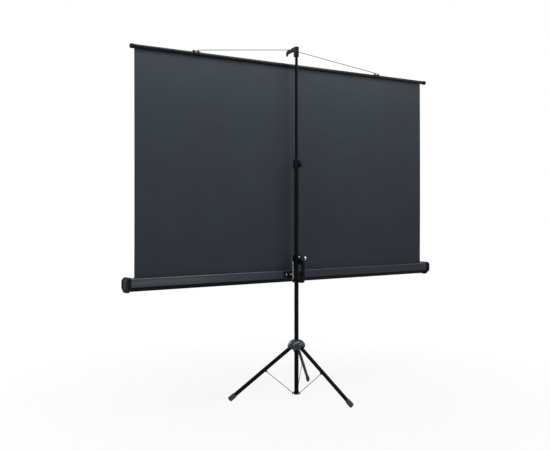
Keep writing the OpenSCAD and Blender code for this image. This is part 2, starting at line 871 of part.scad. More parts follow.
module height_lever() {
    end_y = lever_end_y + lever_bend_r;
    top = lever_pin_z + 6;
    mid = top - lever_bend_r;
    color(steel) difference() {
        side_profile(lever_w) {
            translate([lever_pin_y, lever_pin_z]) circle(r = 6.5);
            translate([lever_pin_y, top - lever_t]) square([end_y - lever_bend_r - lever_pin_y, lever_t]);
            translate([end_y - lever_bend_r, mid]) difference() {
                circle(r = lever_bend_r);
                circle(r = lever_bend_r - lever_t);
                translate([-2 * lever_bend_r, -2 * lever_bend_r])
                    square([2 * lever_bend_r, 4 * lever_bend_r]);
            }
            translate([end_y - lever_bend_r - 16, mid - lever_bend_r]) square([16, lever_t]);
        }
        translate([0, lever_pin_y, lever_pin_z]) rod_x(lever_pin_r + pin_gap, -lever_w, lever_w);
    }
}

module lever_pin() {
    color(steel) translate([0, lever_pin_y, lever_pin_z]) rod_x(lever_pin_r, -12, 12);
}

module case_saddle() {
    c = 2;
    color(black_plastic) difference() {
        side_profile(saddle_w) polygon([[case_back, saddle_z], [plate_front - c, saddle_z],
            [plate_front, saddle_z + c], [plate_front, saddle_z + saddle_h - c],
            [plate_front - c, saddle_z + saddle_h], [case_back, saddle_z + saddle_h]]);
        translate([0, 0, bolt_z]) rod_y(bolt_r + seat_gap, case_back - 1, plate_front + 1);
        for (x = saddle_screw_x) translate([x, 0, bolt_z])
            rod_y(saddle_screw_r + seat_gap, case_back - 1, plate_front + 1);
    }
}

module saddle_screws() {
    color(steel) for (x = saddle_screw_x) translate([x, 0, bolt_z]) {
        rod_y(4.5, plate_front, plate_front + 2.2);
        rod_y(saddle_screw_r, case_back - case_wall - 3, plate_front);
    }
}

module pivot_bolt() {
    color(steel) translate([0, 0, bolt_z]) {
        rod_y(bolt_head_r, plate_back, plate_back + 2.3);
        rod_y(bolt_r, case_back - case_wall - 7, plate_back);
    }
}

module pivot_nut() {
    color(steel) translate([0, case_back - case_wall - 5.5, bolt_z]) difference() {
        rotate([-90, 0, 0]) cylinder(r = bolt_head_r, h = 5.5, $fn = 6);
        rod_y(bolt_r + seat_gap, -1, 7);
    }
}

mast_tube();
brace_spider();
hub_stop_ring();
lock_collar();
collar_bush();
fabric_lower();
fabric_upper();
hub_cover();
hub_yoke();
hub_bush();
hub_screws();
leg_pins();
leg(0);  // leg_1
leg(1);  // leg_2
leg(2);  // leg_3
foot(0);  // foot_1
foot(1);  // foot_2
foot(2);  // foot_3
leg_lug(0);  // leg_lug_1
leg_lug(1);  // leg_lug_2
leg_lug(2);  // leg_lug_3
lug_rivet(0);  // lug_rivet_1
lug_rivet(1);  // lug_rivet_2
lug_rivet(2);  // lug_rivet_3
brace(0);  // brace_1
brace(1);  // brace_2
brace(2);  // brace_3
brace_pin(0);  // brace_pin_1
brace_pin(1);  // brace_pin_2
brace_pin(2);  // brace_pin_3
extension_tube();
extension_plug();
hook_head();
hook_pin();
top_bar();
bar_caps();
bar_spline();
wire_bail();
wire_brackets();
upper_clamp();
lower_guide();
pivot_plate();
carry_handle();
case_saddle();
saddle_screws();
pivot_bolt();
pivot_nut();
case_housing();
end_cap(1, spring_shaft_r);  // end_cap_left
end_cap(-1, idler_r);  // end_cap_right
cap_screws();
spring_shaft();
idler_pin();
roller_spring();
roller_tube();
roller_plugs();
fabric_roll();
collar_knob();
height_lever();
lever_pin();
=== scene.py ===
"""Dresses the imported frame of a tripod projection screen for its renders.

The mast stands on +Z, the case and the top bar lie along X, and the viewers sit on the -Y side.
Left is +X, as the camera behind the screen sees it.
Shapes are drawn in millimetres and brought to metres when a piece is finished.
"""

import math

import bmesh
import bpy
from bpy.props import FloatProperty, FloatVectorProperty, IntProperty, PointerProperty
from bpy.types import Operator, Panel, PropertyGroup
from mathutils import Matrix, Vector


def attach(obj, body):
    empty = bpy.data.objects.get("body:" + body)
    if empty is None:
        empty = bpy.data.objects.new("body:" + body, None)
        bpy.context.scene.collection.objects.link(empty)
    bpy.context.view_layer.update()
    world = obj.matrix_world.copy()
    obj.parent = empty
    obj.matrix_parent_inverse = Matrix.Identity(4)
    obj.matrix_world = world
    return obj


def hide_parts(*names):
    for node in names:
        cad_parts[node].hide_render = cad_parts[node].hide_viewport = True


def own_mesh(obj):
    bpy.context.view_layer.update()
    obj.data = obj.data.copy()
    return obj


bl_info = {
    "name": "Tripod projection screen",
    "version": (1, 0, 0),
    "blender": (4, 5, 0),
    "location": "3D View > Sidebar > Screen",
    "description": "Finishes a floor-standing projection screen piece by piece",
    "category": "Object",
}

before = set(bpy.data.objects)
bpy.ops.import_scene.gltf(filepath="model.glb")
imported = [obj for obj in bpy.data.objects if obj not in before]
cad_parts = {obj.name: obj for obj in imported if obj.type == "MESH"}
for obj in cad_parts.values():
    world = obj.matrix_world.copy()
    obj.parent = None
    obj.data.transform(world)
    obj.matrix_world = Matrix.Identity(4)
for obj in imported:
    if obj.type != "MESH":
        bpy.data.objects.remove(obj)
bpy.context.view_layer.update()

MM = 0.001
# Places shared with the frame's source, in millimetres
SCREEN_X = -35.0
CLOTH_Y = -63.0
CLOTH_HALF = 1135.0
CLOTH_LOW = 770.0
CLOTH_SPLIT = 1425.0
CLOTH_TOP = 2121.5
CASE_TRAVEL = 550.0
MAST_TRAVEL = 650.0
BAR_X = -48.0
BAR_Z = 2130.0
BAR_R = 12.0
BAR_HALF = 1158.0
CASE_Y = -66.0
CASE_Z = 770.0
CASE_HALF = 1179.0
CASE_BACK = -28.0
PLATE_FRONT = -21.5
ROLLER_Y = -81.2
WIRE_X = -23.0
WIRE_Z = 2233.0
WIRE_HALF = 702.0
WIRE_FOOT_Z = 2155.0
MAST_R = 14.0
COLLAR_Z = 1460.0
KNOB_Z = 1490.0
KNOB_TURN = 55.0
HOOK_Z = 2179.0
CLAMP_Z = 866.0
GUIDE_Z = 731.0
BOLT_Z = 781.0
HUB_Z = 324.0
HINGE_Z = 312.0
HINGE_R = 42.0
SPREAD = 53.10230
LEG_LEN = 494.683
LEG_TURNS = (103.0, 223.0, 343.0)

# The camera's place and direction in metres, its focal length in millimetres and its shift
CAMERA_PLACE = (2.9966, 4.0747, 1.2035)
CAMERA_WAY = (-0.5703, -0.8214, 0.0)
LENS_MM = 51.52
LENS_SHIFT = -0.0296
# Each lamp's place, aim, width and height in metres, its power in watts and its colour: a long one
# overhead, a broad one at the right, a window at the left, a low one at the right that is turned to
# the left part of the case, and a soft one in front of the screen
LAMPS = {
    "overhead": ((0.8, 0.4, 3.1), (0.8, 0.3, 0.0), 4.0, 0.5, 84.0, (0.97, 0.98, 1.0)),
    "side": ((-2.2, 2.5, 2.9), (0.1, 0.0, 1.6), 3.0, 1.2, 58.0, (0.98, 0.99, 1.0)),
    "window": ((2.8, 1.0, 1.7), (0.1, 0.0, 0.9), 0.8, 0.8, 15.0, (0.97, 0.98, 1.0)),
    "low": ((-0.6, 3.3, 0.45), (0.9, 0.0, 0.7), 1.6, 0.4, 15.0, (0.8, 0.9, 1.0)),
    "hall": ((1.2, -5.2, 2.6), (0.0, 0.0, 1.1), 3.0, 3.0, 130.0, (1.0, 1.0, 1.0)),
}


def linear(code):
    """Turns an sRGB hex colour into linear red, green and blue."""
    parts = [int(code[k : k + 2], 16) / 255 for k in (1, 3, 5)]
    return [c / 12.92 if c <= 0.04045 else ((c + 0.055) / 1.055) ** 2.4 for c in parts]


def size(name, default, description):
    """A length that a user may change, in metres."""
    return FloatProperty(
        name=name, description=description, default=default * MM, min=0.0, unit="LENGTH", precision=5
    )


def tint(name, code, description):
    """A colour that a user may change."""
    return FloatVectorProperty(
        name=name, description=description, default=linear(code), min=0.0, max=1.0,
        size=3, subtype="COLOR",
    )


class ScreenSizes(PropertyGroup):
    """Sizes of the details that the frame leaves open."""

    border_side: size("Side border", 28.0, "Width of the black border down each side of the cloth")
    border_top: size("Top border", 35.0, "Width of the black border under the top bar")
    border_low: size("Bottom border", 68.0, "Height of the bottom border above the roller")
    ripple: size("Ripple", 1.6, "Depth of the soft waves in the hanging cloth")
    edge_curl: size("Edge curl", 2.2, "How far the side edges of the cloth curl")
    cloth_thickness: size("Cloth", 0.6, "Thickness of the coated cloth")
    moulding_edge: size("Moulded edge", 1.2, "Radius along the edges of moulded parts")
    grip_edge: size("Grip edge", 4.5, "Radius along the edges of the carrying handle")
    collar_ribs: IntProperty(
        name="Collar ribs", description="Grip ribs round the lock collar", default=28, min=8, max=60
    )
    knob_lobes: IntProperty(
        name="Knob lobes", description="Lobes round the lock knob", default=6, min=3, max=12
    )


class ScreenColours(PropertyGroup):
    """Colours of the finishes."""

    enamel: tint("Enamel", "#060709", "Black enamel of the mast, the legs and the bar")
    case: tint("Case", "#20272e", "Blue-grey enamel of the case")
    plastic: tint("Mouldings", "#0a0b0e", "Black moulded plastic")
    backing: tint("Backing", "#35393c", "Dark coating on the cloth's back")
    surface: tint("Viewing face", "#eceae4", "Matt white of the viewing face")
    border: tint("Border", "#111214", "Printed black border")
    zinc: tint("Zinc plate", "#a4a8ab", "Zinc-plated steel")
    wire: tint("Wire", "#3c3f42", "Drawn steel of the wire and the braces")
    steel: tint("Bright steel", "#b9bcbe", "Bright plated steel")
    chrome: tint("Chrome", "#b4b7ba", "Chrome of the height lever")
    nylon: tint("Nylon", "#d5d2c8", "Natural nylon bushes")
    rubber: tint("Rubber", "#161617", "Rubber of the feet")
    floor: tint("Floor", "#9c9c9c", "Plain pale floor")


def length(key):
    """One of the scene's sizes, in millimetres."""
    return getattr(bpy.context.scene.screen_sizes, key) / MM


def shade(name, factors=1.0, lift=0.0):
    """One of the scene's colours, made darker, paler or warmer, with full alpha."""
    held = getattr(bpy.context.scene.screen_colours, name)
    each = factors if isinstance(factors, tuple) else (factors,) * 3
    return (*(c * f + lift for c, f in zip(held, each)), 1.0)


# Materials

WHITE = (1, 1, 1, 1)
EVEN = (1, 1, 1)
ALONG_X = (0.01, 1, 1)


def node(tree, kind, inputs=None, **settings):
    """Adds a node with its settings, its values and the sockets that feed it."""
    made = tree.nodes.new(kind)
    for key, value in settings.items():
        setattr(made, key, value)
    for key, value in (inputs or {}).items():
        if isinstance(value, bpy.types.NodeSocket):
            tree.links.new(value, made.inputs[key])
        else:
            made.inputs[key].default_value = value
    return made


def bare(owner):
    """The emptied node tree of a material or a world."""
    owner.use_nodes = True
    owner.node_tree.nodes.clear()
    return owner.node_tree


def worked(tree, operation, *values):
    """The result of arithmetic on values and sockets."""
    return node(tree, "ShaderNodeMath", dict(enumerate(values)), operation=operation).outputs[0]


def brought(tree, value, first, last, low, high):
    """Brings a value that runs from first to last to run from low to high."""
    ends = {"From Min": first, "From Max": last, "To Min": low, "To Max": high}
    return node(tree, "ShaderNodeMapRange", {"Value": value, **ends}).outputs[0]


def mottle(tree, where, spacing_mm, low, high, stretch=EVEN, detail=3):
    """Noise about spacing_mm across, whose usual 0.3 to 0.7 is brought to run from low to high."""
    scale = [s / (spacing_mm * MM) for s in stretch]
    scaled = node(tree, "ShaderNodeMapping", {"Vector": where, "Scale": scale}).outputs[0]
    settings = {"Vector": scaled, "Scale": 1, "Detail": detail, "Roughness": 0.55}
    return brought(tree, node(tree, "ShaderNodeTexNoise", settings).outputs[0], 0.3, 0.7, low, high)


def blended(tree, share, first, second):
    """Mixes two colours by a share."""
    mixed = node(tree, "ShaderNodeMix", {"Factor": share, "A": first, "B": second}, data_type="RGBA")
    return mixed.outputs["Result"]


def finish(title, constants, kind="Object"):
    """Starts a material. Returns it, its tree, its shader and its coordinates."""
    made = bpy.data.materials.new(title)
    tree = bare(made)
    shader = node(tree, "ShaderNodeBsdfPrincipled", constants)
    node(tree, "ShaderNodeOutputMaterial", {"Surface": shader.outputs[0]})
    return made, tree, shader, node(tree, "ShaderNodeTexCoord").outputs[kind]


def feed(tree, shader, tone, roughness, height=None, depth_mm=0):
    """Links patterns to the shader's colour and roughness, and lets a height tilt the surface."""
    tree.links.new(tone, shader.inputs["Base Color"])
    tree.links.new(roughness, shader.inputs["Roughness"])
    if height is not None:
        bump = node(tree, "ShaderNodeBump", {"Height": height, "Distance": depth_mm * MM, "Strength": 1})
        tree.links.new(bump.outputs[0], shader.inputs["Normal"])


def coat(title, base, other, share, rough, relief=None, lift=0, **constants):
    """A finish that wavers between a colour of the scene and a multiple of it.

    share and rough hold what mottle takes, and relief its depth, spacing, stretch and detail.
    """
    named = {key.replace("_", " "): value for key, value in constants.items()}
    made, tree, shader, where = finish(title, named)
    tone = blended(tree, mottle(tree, where, *share), shade(base), shade(base, other, lift))
    depth, spacing, *grain = relief or (0, 1)
    height = mottle(tree, where, spacing, 0, 1, *grain) if relief else None
    feed(tree, shader, tone, mottle(tree, where, *rough), height, depth)
    return made


COATS = {
    # Stoved black enamel on drawn tube: an even half gloss with faint orange peel and a little dust
    "enamel": dict(
        title="stoved_black_enamel_on_steel", base="enamel", other=1.9, lift=0.001,
        share=(90, 0, 0.35), rough=(40, 0.26, 0.38),
        relief=(0.04, 2.5, EVEN, 1), Specular_IOR_Level=0.05,
    ),
    # Painted shade on the case's slanted underside, which is painted like the rest of the case: the
    # black enamel of the mast made matt, with hardly any reflection, so that the underside renders as
    # dark as its shade
    "matt": dict(
        title="matt_black_enamel_on_sheet", base="enamel", other=1.8, lift=0.001,
        share=(70, 0, 0.5), rough=(30, 0.5, 0.62),
        relief=(0.04, 3, EVEN, 1), Specular_IOR_Level=0.03,
    ),
    # Gloss black enamel on aluminium tube: sharper reflections, drawn lines along it under the paint
    "bar": dict(
        title="gloss_black_enamel_on_aluminium", base="enamel", other=1.5, lift=0.001,
        share=(120, 0, 0.4), rough=(60, 0.16, 0.24), relief=(0.02, 3, ALONG_X, 2),
        Specular_IOR_Level=0.1, Specular_Tint=(0.8, 0.88, 1, 1),
    ),
    # Satin blue-black enamel on roll-formed sheet: long faint draw lines and slow waves along it
    "case": dict(
        title="satin_blue_black_enamel_on_sheet", base="case", other=0.72,
        share=(160, 0, 0.5, (0.35, 1, 1)), rough=(30, 0.26, 0.34, (0.05, 1, 1)),
        relief=(0.03, 4, (0.008, 1, 1), 2), Specular_IOR_Level=0.22,
    ),
    # Injection-moulded black ABS: fine spark-eroded grain, a low sheen, paler where hands rub it.
    # The real grain is about 0.2 mm and is drawn several times coarser so that it shows.
    "plastic": dict(
        title="grained_black_abs", base="plastic", other=1.8, lift=0.001,
        share=(24, 0, 0.45), rough=(14, 0.36, 0.46),
        relief=(0.06, 1.4, EVEN, 2), Specular_IOR_Level=0.06,
    ),
    # Polished black ABS of the hub's dome: a deep blue-black with soft broad highlights of the lamps
    "gloss_plastic": dict(
        title="polished_black_abs", base="plastic", other=(0.8, 0.95, 1.5),
        share=(30, 0.2, 0.8), rough=(22, 0.27, 0.32),
        Specular_IOR_Level=0.42, Specular_Tint=(0.74, 0.86, 1, 1),
    ),
    # Bright zinc on pressed sheet: silver with blotches of dull grey and very fine rolling lines
    "zinc": dict(
        title="zinc_plated_steel", base="zinc", other=0.55,
        share=(9, 0, 0.7), rough=(6, 0.36, 0.5),
        relief=(0.02, 1.2, (1, 1, 0.05)), Metallic=0.3, Specular_IOR_Level=0.4,
    ),
    # Drawn spring steel of the wire and the braces: dark grey, oily and dull in places
    "wire": dict(
        title="drawn_spring_steel", base="wire", other=0.45,
        share=(16, 0, 0.8), rough=(8, 0.3, 0.45), Metallic=1,
    ),
    # Nickel-bright pins, rivets and screws: smooth, with patches that handling has dulled
    "steel": dict(
        title="bright_plated_steel", base="steel", other=0.6,
        share=(5, 0, 0.5), rough=(4, 0.18, 0.3), Metallic=1,
    ),
    # Decorative chrome on the bent lever: a hazed mirror, dullest where thumbs press
    "chrome": dict(
        title="decorative_chrome", base="chrome", other=0.85,
        share=(12, 0, 0.5), rough=(10, 0.14, 0.26), Metallic=1,
    ),
    # Turned nylon: waxy off-white with faint tool rings
    "nylon": dict(
        title="natural_nylon", base="nylon", other=(0.9, 0.86, 0.78),
        share=(8, 0, 0.6), rough=(5, 0.42, 0.55), relief=(0.03, 0.8, (0.1, 0.1, 1)), IOR=1.53,
    ),
    # Mill-finish aluminium tube: grey with extrusion lines along it
    "alloy": dict(
        title="mill_finish_aluminium", base="zinc", other=0.7,
        share=(2, 0, 0.7, ALONG_X), rough=(12, 0.34, 0.46), Metallic=1,
    ),
}


def foot_rubber():
    # Moulded rubber: matt, a grey bloom, scuffed grit near the floor
    made, tree, shader, where = finish("moulded_black_rubber", {"IOR": 1.52})
    height = node(tree, "ShaderNodeSeparateXYZ", {"Vector": where}).outputs["Z"]
    low = brought(tree, height, 0, 0.02, 0.75, 0.15)
    grit = worked(tree, "MULTIPLY", low, mottle(tree, where, 3, 0, 1))
    tone = blended(tree, grit, shade("rubber"), shade("rubber", 2.6, 0.01))
    rough = mottle(tree, where, 6, 0.6, 0.78)
    feed(tree, shader, tone, rough, mottle(tree, where, 1.5, 0, 1), 0.08)
    return made


def weave(tree, flat, spacing_mm):
    """The flat coordinates taken apart, which are in metres, and the height of a plain weave."""
    across = node(tree, "ShaderNodeSeparateXYZ", {"Vector": flat}).outputs
    turn = 2 * math.pi / (spacing_mm * MM)
    waves = [worked(tree, "SINE", worked(tree, "MULTIPLY", across[k], turn)) for k in ("X", "Y")]
    return across, worked(tree, "MULTIPLY", *waves)


def coated_backing():
    # Glass-fibre cloth with a dark vinyl coat on its back: a soft satin with a plain weave under it, and
    # broad paler, bluer patches that are painted sheen.
    # The threads are about 0.6 mm apart and are drawn at 3 mm so that they show.
    made, tree, shader, flat = finish("dark_vinyl_coated_cloth", {"Specular IOR Level": 0.04}, "UV")
    _, threads = weave(tree, flat, 3)
    # Painted sheen: broad random patches where the backing turns paler and bluer
    painted_sheen_patches = mottle(tree, flat, 260, 0, 1, detail=4)
    streaks = mottle(tree, flat, 45, 0, 0.35, stretch=(1, 0.05, 1))
    tone = blended(tree, streaks, shade("backing"), shade("backing", 0.8))
    tone = blended(tree, painted_sheen_patches, tone, shade("backing", (1.02, 1.05, 1.13)))
    feed(tree, shader, tone, mottle(tree, flat, 70, 0.46, 0.58), threads, 0.05)
    return made


def viewing_face():
    # Matt white vinyl with a printed black border: finely embossed so that it doesn't glare
    made, tree, shader, flat = finish("matt_white_viewing_vinyl", {"IOR": 1.48}, "UV")
    across, threads = weave(tree, flat, 2.4)
    held = bpy.context.scene.screen_sizes
    top = (CLOTH_TOP - CLOTH_LOW) * MM - held.border_top
    aside = worked(tree, "ABSOLUTE", across["X"])
    beyond = worked(tree, "GREATER_THAN", aside, CLOTH_HALF * MM - held.border_side)
    above = worked(tree, "GREATER_THAN", across["Y"], top)
    below = worked(tree, "LESS_THAN", across["Y"], held.border_low)
    edge = worked(tree, "MAXIMUM", worked(tree, "MAXIMUM", above, below), beyond)
    white = blended(tree, mottle(tree, flat, 180, 0, 1), shade("surface"), shade("surface", 0.94))
    tone = blended(tree, edge, white, shade("border"))
    feed(tree, shader, tone, mottle(tree, flat, 20, 0.72, 0.84), threads, 0.03)
    return made


OTHER_FINISHES = {"rubber": foot_rubber, "backing": coated_backing, "face": viewing_face}
MADE = {}


def finish_for(name):
    """The material for a finish, made once."""
    if name not in MADE:
        MADE[name] = coat(**COATS[name]) if name in COATS else OTHER_FINISHES[name]()
    return MADE[name]


def dress(finish_name, *nodes):
    """Gives frame nodes that keep their own shape a finish."""
    for name in nodes:
        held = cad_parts[name]
        if not held.material_slots:
            held.data.materials.append(None)
        for spot in held.material_slots:
            spot.material = finish_for(finish_name)


# Shapes


def about_z(degrees):
    """A turn about Z."""
    return Matrix.Rotation(math.radians(degrees), 4, "Z")


def toward(point, direction):
    """A place whose Z runs along a direction."""
    turn = Vector(direction).to_track_quat("Z", "Y").to_matrix().to_4x4()
    return Matrix.Translation(Vector(point)) @ turn


def leg_place(k):
    """Place of leg k: X from its hinge to its foot, Z its upper side."""
    tilt = Matrix.Rotation(math.radians(90 - SPREAD), 4, "Y")
    return about_z(LEG_TURNS[k]) @ Matrix.Translation((HINGE_R, 0, HINGE_Z)) @ tilt


def arc(y, z, r, degrees):
    """Points round a centre in Y and Z."""
    return [(y + r * math.cos(math.radians(a)), z + r * math.sin(math.radians(a))) for a in degrees]


def way_of(edge):
    """The direction of an edge."""
    return (edge.verts[0].co - edge.verts[1].co).normalized()


def new_points(out):
    """The vertices that an operator made."""
    return [g for g in out["geom"] if isinstance(g, bmesh.types.BMVert)]


def line_of(bm, points):
    """Adds vertices along points and the edges between them."""
    verts = [bm.verts.new(p) for p in points]
    return verts, [bm.edges.new(pair) for pair in zip(verts, verts[1:])]


def moved(bm, matrix):
    """Puts a whole shape in another place."""
    bmesh.ops.transform(bm, matrix=matrix, verts=bm.verts)


def block(bm, low, high):
    """Adds a box between two corners."""
    span = Vector(high) - Vector(low)
    place = Matrix.Translation((Vector(low) + Vector(high)) / 2) @ Matrix.Diagonal((*span, 1))
    return bmesh.ops.create_cube(bm, size=1, matrix=place)["verts"]


def block_at(bm, side, near, far, y, z):
    """Adds a box whose two ends along X lie on one side of the mast."""
    low, high = sorted((side * near, side * far))
    block(bm, (low, y[0], z[0]), (high, y[1], z[1]))


def rod(bm, start, end, r, sides):
    """Adds a round bar between two points."""
    way = Vector(end) - Vector(start)
    place = toward((Vector(start) + Vector(end)) / 2, way)
    bmesh.ops.create_cone(
        bm, cap_ends=True, segments=sides, radius1=r, radius2=r, depth=way.length, matrix=place
    )


def turned(bm, profile, place, steps=64):
    """Spins a profile of radii and heights about Z, then puts it in its place."""
    before = set(bm.verts)
    verts, edges = line_of(bm, [(r, 0, h) for r, h in profile])
    bmesh.ops.spin(
        bm, geom=verts + edges, cent=(0, 0, 0), axis=(0, 0, 1),
        angle=2 * math.pi, steps=steps, use_merge=True,
    )
    bmesh.ops.remove_doubles(bm, verts=[v for v in bm.verts if v not in before], dist=1e-4)
    bmesh.ops.transform(bm, matrix=place, verts=[v for v in bm.verts if v not in before])


def drawn_out(bm, outline, travel):
    """Fills a closed outline and draws it out into a solid."""
    face = bm.faces.new([bm.verts.new(p) for p in outline])
    out = bmesh.ops.extrude_face_region(bm, geom=[face])
    bmesh.ops.translate(bm, vec=travel, verts=new_points(out))


def unrolled(bm, points, travel):
    """Draws an open line out along X into a sheet."""
    out = bmesh.ops.extrude_edge_only(bm, edges=line_of(bm, points)[1])
    bmesh.ops.translate(bm, vec=(travel, 0, 0), verts=new_points(out))


def laid_flat(bm, rule):
    """Gives every corner its flat coordinates, which are in metres."""
    flat = bm.loops.layers.uv.new("flat")
    for face in bm.faces:
        for loop in face.loops:
            loop[flat].uv = rule(*loop.vert.co)


def bevelled(bm, edges, width, segments):
    """Rounds edges."""
    bmesh.ops.bevel(
        bm, geom=edges, offset=width, offset_type="OFFSET", affect="EDGES", segments=segments,
        profile=0.5, material=-1, clamp_overlap=True,
    )


def sharp_edges(bm, least):
    """The edges that turn by more than least degrees."""
    turn = math.radians(least)
    return [e for e in bm.edges if len(e.link_faces) == 2 and e.calc_face_angle() > turn]


def eased(bm, width, segments=3, least=28):
    """Rounds the edges that turn by more than least degrees."""
    bmesh.ops.recalc_face_normals(bm, faces=bm.faces)
    bevelled(bm, sharp_edges(bm, least), width, segments)


def joined(bm, other):
    """Moves another shape into this one."""
    mesh = bpy.data.meshes.new("part")
    other.to_mesh(mesh)
    other.free()
    bm.from_mesh(mesh)
    bpy.data.meshes.remove(mesh)


def pad(bm, low, high, width, segments=3):
    """Adds a box with rounded edges."""
    part = bmesh.new()
    block(part, low, high)
    eased(part, width, segments)
    joined(bm, part)


def slab(bm, x, outline, wide, width, segments=2, least=28):
    """Adds an outline in Y and Z, drawn out along X and rounded."""
    part = bmesh.new()
    drawn_out(part, [(x, y, z) for y, z in outline], (wide, 0, 0))
    eased(part, width, segments, least)
    joined(bm, part)


def holed(bm, cutter):
    """Cuts one closed shape out of another and returns what is left."""
    pair = []
    for shape in (bm, cutter):
        bmesh.ops.recalc_face_normals(shape, faces=shape.faces)
        mesh = bpy.data.meshes.new("blank")
        shape.to_mesh(mesh)
        shape.free()
        pair.append(bpy.data.objects.new("blank", mesh))
        bpy.context.scene.collection.objects.link(pair[-1])
    cut = pair[0].modifiers.new("cut", "BOOLEAN")
    cut.operation, cut.solver, cut.object = "DIFFERENCE", "EXACT", pair[1]
    graph = bpy.context.evaluated_depsgraph_get()
    left = bmesh.new()
    left.from_mesh(pair[0].evaluated_get(graph).to_mesh())
    for spent in pair:
        mesh = spent.data
        bpy.data.objects.remove(spent)
        bpy.data.meshes.remove(mesh)
    if not left.faces:
        raise RuntimeError("Nothing is left of the shape that was cut")
    return left


def swept(points, r):
    """A round wire along points, as a bmesh with closed ends."""
    curve = bpy.data.curves.new("wire", "CURVE")
    curve.dimensions = "3D"
    curve.bevel_depth = r
    curve.bevel_resolution = 3
    curve.use_fill_caps = True
    line = curve.splines.new("POLY")
    line.points.add(len(points) - 1)
    for spot, p in zip(line.points, points):
        spot.co = (*p, 1)
    holder = bpy.data.objects.new("wire", curve)
    bpy.context.scene.collection.objects.link(holder)
    graph = bpy.context.evaluated_depsgraph_get()
    bm = bmesh.new()
    bm.from_mesh(holder.evaluated_get(graph).to_mesh())
    bpy.data.objects.remove(holder)
    bpy.data.curves.remove(curve)
    bmesh.ops.remove_doubles(bm, verts=bm.verts, dist=1e-3)
    return bm


def screw_head(bm, point, direction, r=4.5, tall=2.2, slot=0.9):
    """Adds a domed head with a cross recess."""
    dome = ((0, 0), (1, 0), (1, 0.25), (0.93, 0.55), (0.72, 0.85), (0.4, 0.97), (0, 1))
    head = bmesh.new()
    turned(head, [(x * r, z * tall) for x, z in dome], Matrix(), 22)
    cross = bmesh.new()
    long, half = 0.55 * r, slot / 2
    arm = [(long, -half), (long, half), (half, half)]
    outline = []
    for _ in range(4):
        outline += arm
        arm = [(-y, x) for x, y in arm]
    drawn_out(cross, [(x, y, 0.5 * tall) for x, y in outline], (0, 0, 0.5 * tall + 1))
    merged = holed(head, cross)
    moved(merged, toward(point, direction))
    joined(bm, merged)


def piece(bm, name, finishes, body, stands_for=(), smooth=34, closed=True):
    """Brings a shape drawn in millimetres to metres and makes it a piece of a body."""
    if closed:
        bmesh.ops.recalc_face_normals(bm, faces=bm.faces)
    bmesh.ops.scale(bm, vec=(MM, MM, MM), verts=bm.verts)
    mesh = bpy.data.meshes.new(name)
    bm.to_mesh(mesh)
    bm.free()
    mesh.shade_smooth()
    mesh.set_sharp_from_angle(angle=math.radians(smooth))
    made = bpy.data.objects.new(name, mesh)
    bpy.context.scene.collection.objects.link(made)
    for each in finishes:
        mesh.materials.append(finish_for(each))
    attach(made, body)
    if stands_for:
        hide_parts(*stands_for)
    return made


def moulding(bm, name, body, stands_for, finish_name="plastic"):
    """Makes a shape a piece of black plastic."""
    piece(bm, name, [finish_name], body, [stands_for])


# The pieces


class SCREEN_OT_stage(Operator):
    """Sets up the camera, the floor, the lamps and the pale surroundings"""

    bl_idname = "screen.stage"
    bl_label = "Stage"

    def execute(self, context):
        scene = context.scene
        scene.view_settings.view_transform = "Standard"
        lens = bpy.data.cameras.new("camera")
        lens.sensor_width = 36
        lens.lens = LENS_MM
        lens.shift_y = LENS_SHIFT
        lens.clip_end = 60
        scene.camera = self.aimed("camera", lens, CAMERA_PLACE, Vector(CAMERA_WAY))

        ground = bmesh.new()
        bmesh.ops.create_grid(ground, x_segments=8, y_segments=8, size=40)
        mesh = bpy.data.meshes.new("floor")
        ground.to_mesh(mesh)
        ground.free()
        floor = bpy.data.objects.new("floor", mesh)
        scene.collection.objects.link(floor)
        mesh.materials.append(self.floor_paint())

        world = bpy.data.worlds.new("pale_room")
        tree = bare(world)
        seen = self.seen_directly(tree)
        room = node(tree, "ShaderNodeBackground", {"Color": (0.93, 0.96, 1, 1), "Strength": 0.02})
        white = node(tree, "ShaderNodeBackground", {"Color": WHITE, "Strength": 1})
        both = node(tree, "ShaderNodeMixShader", {0: seen, 1: room.outputs[0], 2: white.outputs[0]})
        node(tree, "ShaderNodeOutputWorld", {"Surface": both.outputs[0]})
        scene.world = world

        for name, (place, aim, wide, tall, power, tone) in LAMPS.items():
            light = bpy.data.lights.new(name, "AREA")
            light.shape = "RECTANGLE"
            light.size, light.size_y = wide, tall
            light.energy = power
            light.color = tone
            self.aimed(name, light, place, Vector(aim) - Vector(place)).visible_camera = False
        return {"FINISHED"}

    @staticmethod
    def aimed(name, data, place, way):
        """Stands a camera or a lamp in its place, looking along a direction."""
        made = bpy.data.objects.new(name, data)
        made.location = place
        made.rotation_euler = way.to_track_quat("-Z", "Y").to_euler()
        bpy.context.scene.collection.objects.link(made)
        return made

    @staticmethod
    def seen_directly(tree):
        """One for rays from the camera and for their reflections and refractions."""
        path = node(tree, "ShaderNodeLightPath").outputs
        first = worked(tree, "MAXIMUM", path["Is Camera Ray"], path["Is Glossy Ray"])
        return worked(tree, "MAXIMUM", first, path["Is Transmission Ray"])

    def floor_paint(self):
        """A pale floor that stays white around the shadow."""
        paint = bpy.data.materials.new("plain_pale_floor")
        tree = bare(paint)
        matt = node(tree, "ShaderNodeBsdfDiffuse", {"Color": shade("floor")}).outputs[0]
        glow = node(tree, "ShaderNodeEmission", {"Color": WHITE, "Strength": 1}).outputs[0]
        place = node(tree, "ShaderNodeTexCoord").outputs["Object"]
        away = node(tree, "ShaderNodeVectorMath", {0: place}, operation="LENGTH").outputs["Value"]
        # The glow takes over on the way out, in metres from the mast
        near, far, share_near = 0.7, 2.2, 0.92
        share = brought(tree, away, near, far, share_near, 1)
        lit = node(tree, "ShaderNodeMixShader", {0: share, 1: matt, 2: glow}).outputs[0]
        both = node(tree, "ShaderNodeMixShader", {0: self.seen_directly(tree), 1: matt, 2: lit})
        node(tree, "ShaderNodeOutputMaterial", {"Surface": both.outputs[0]})
        return paint


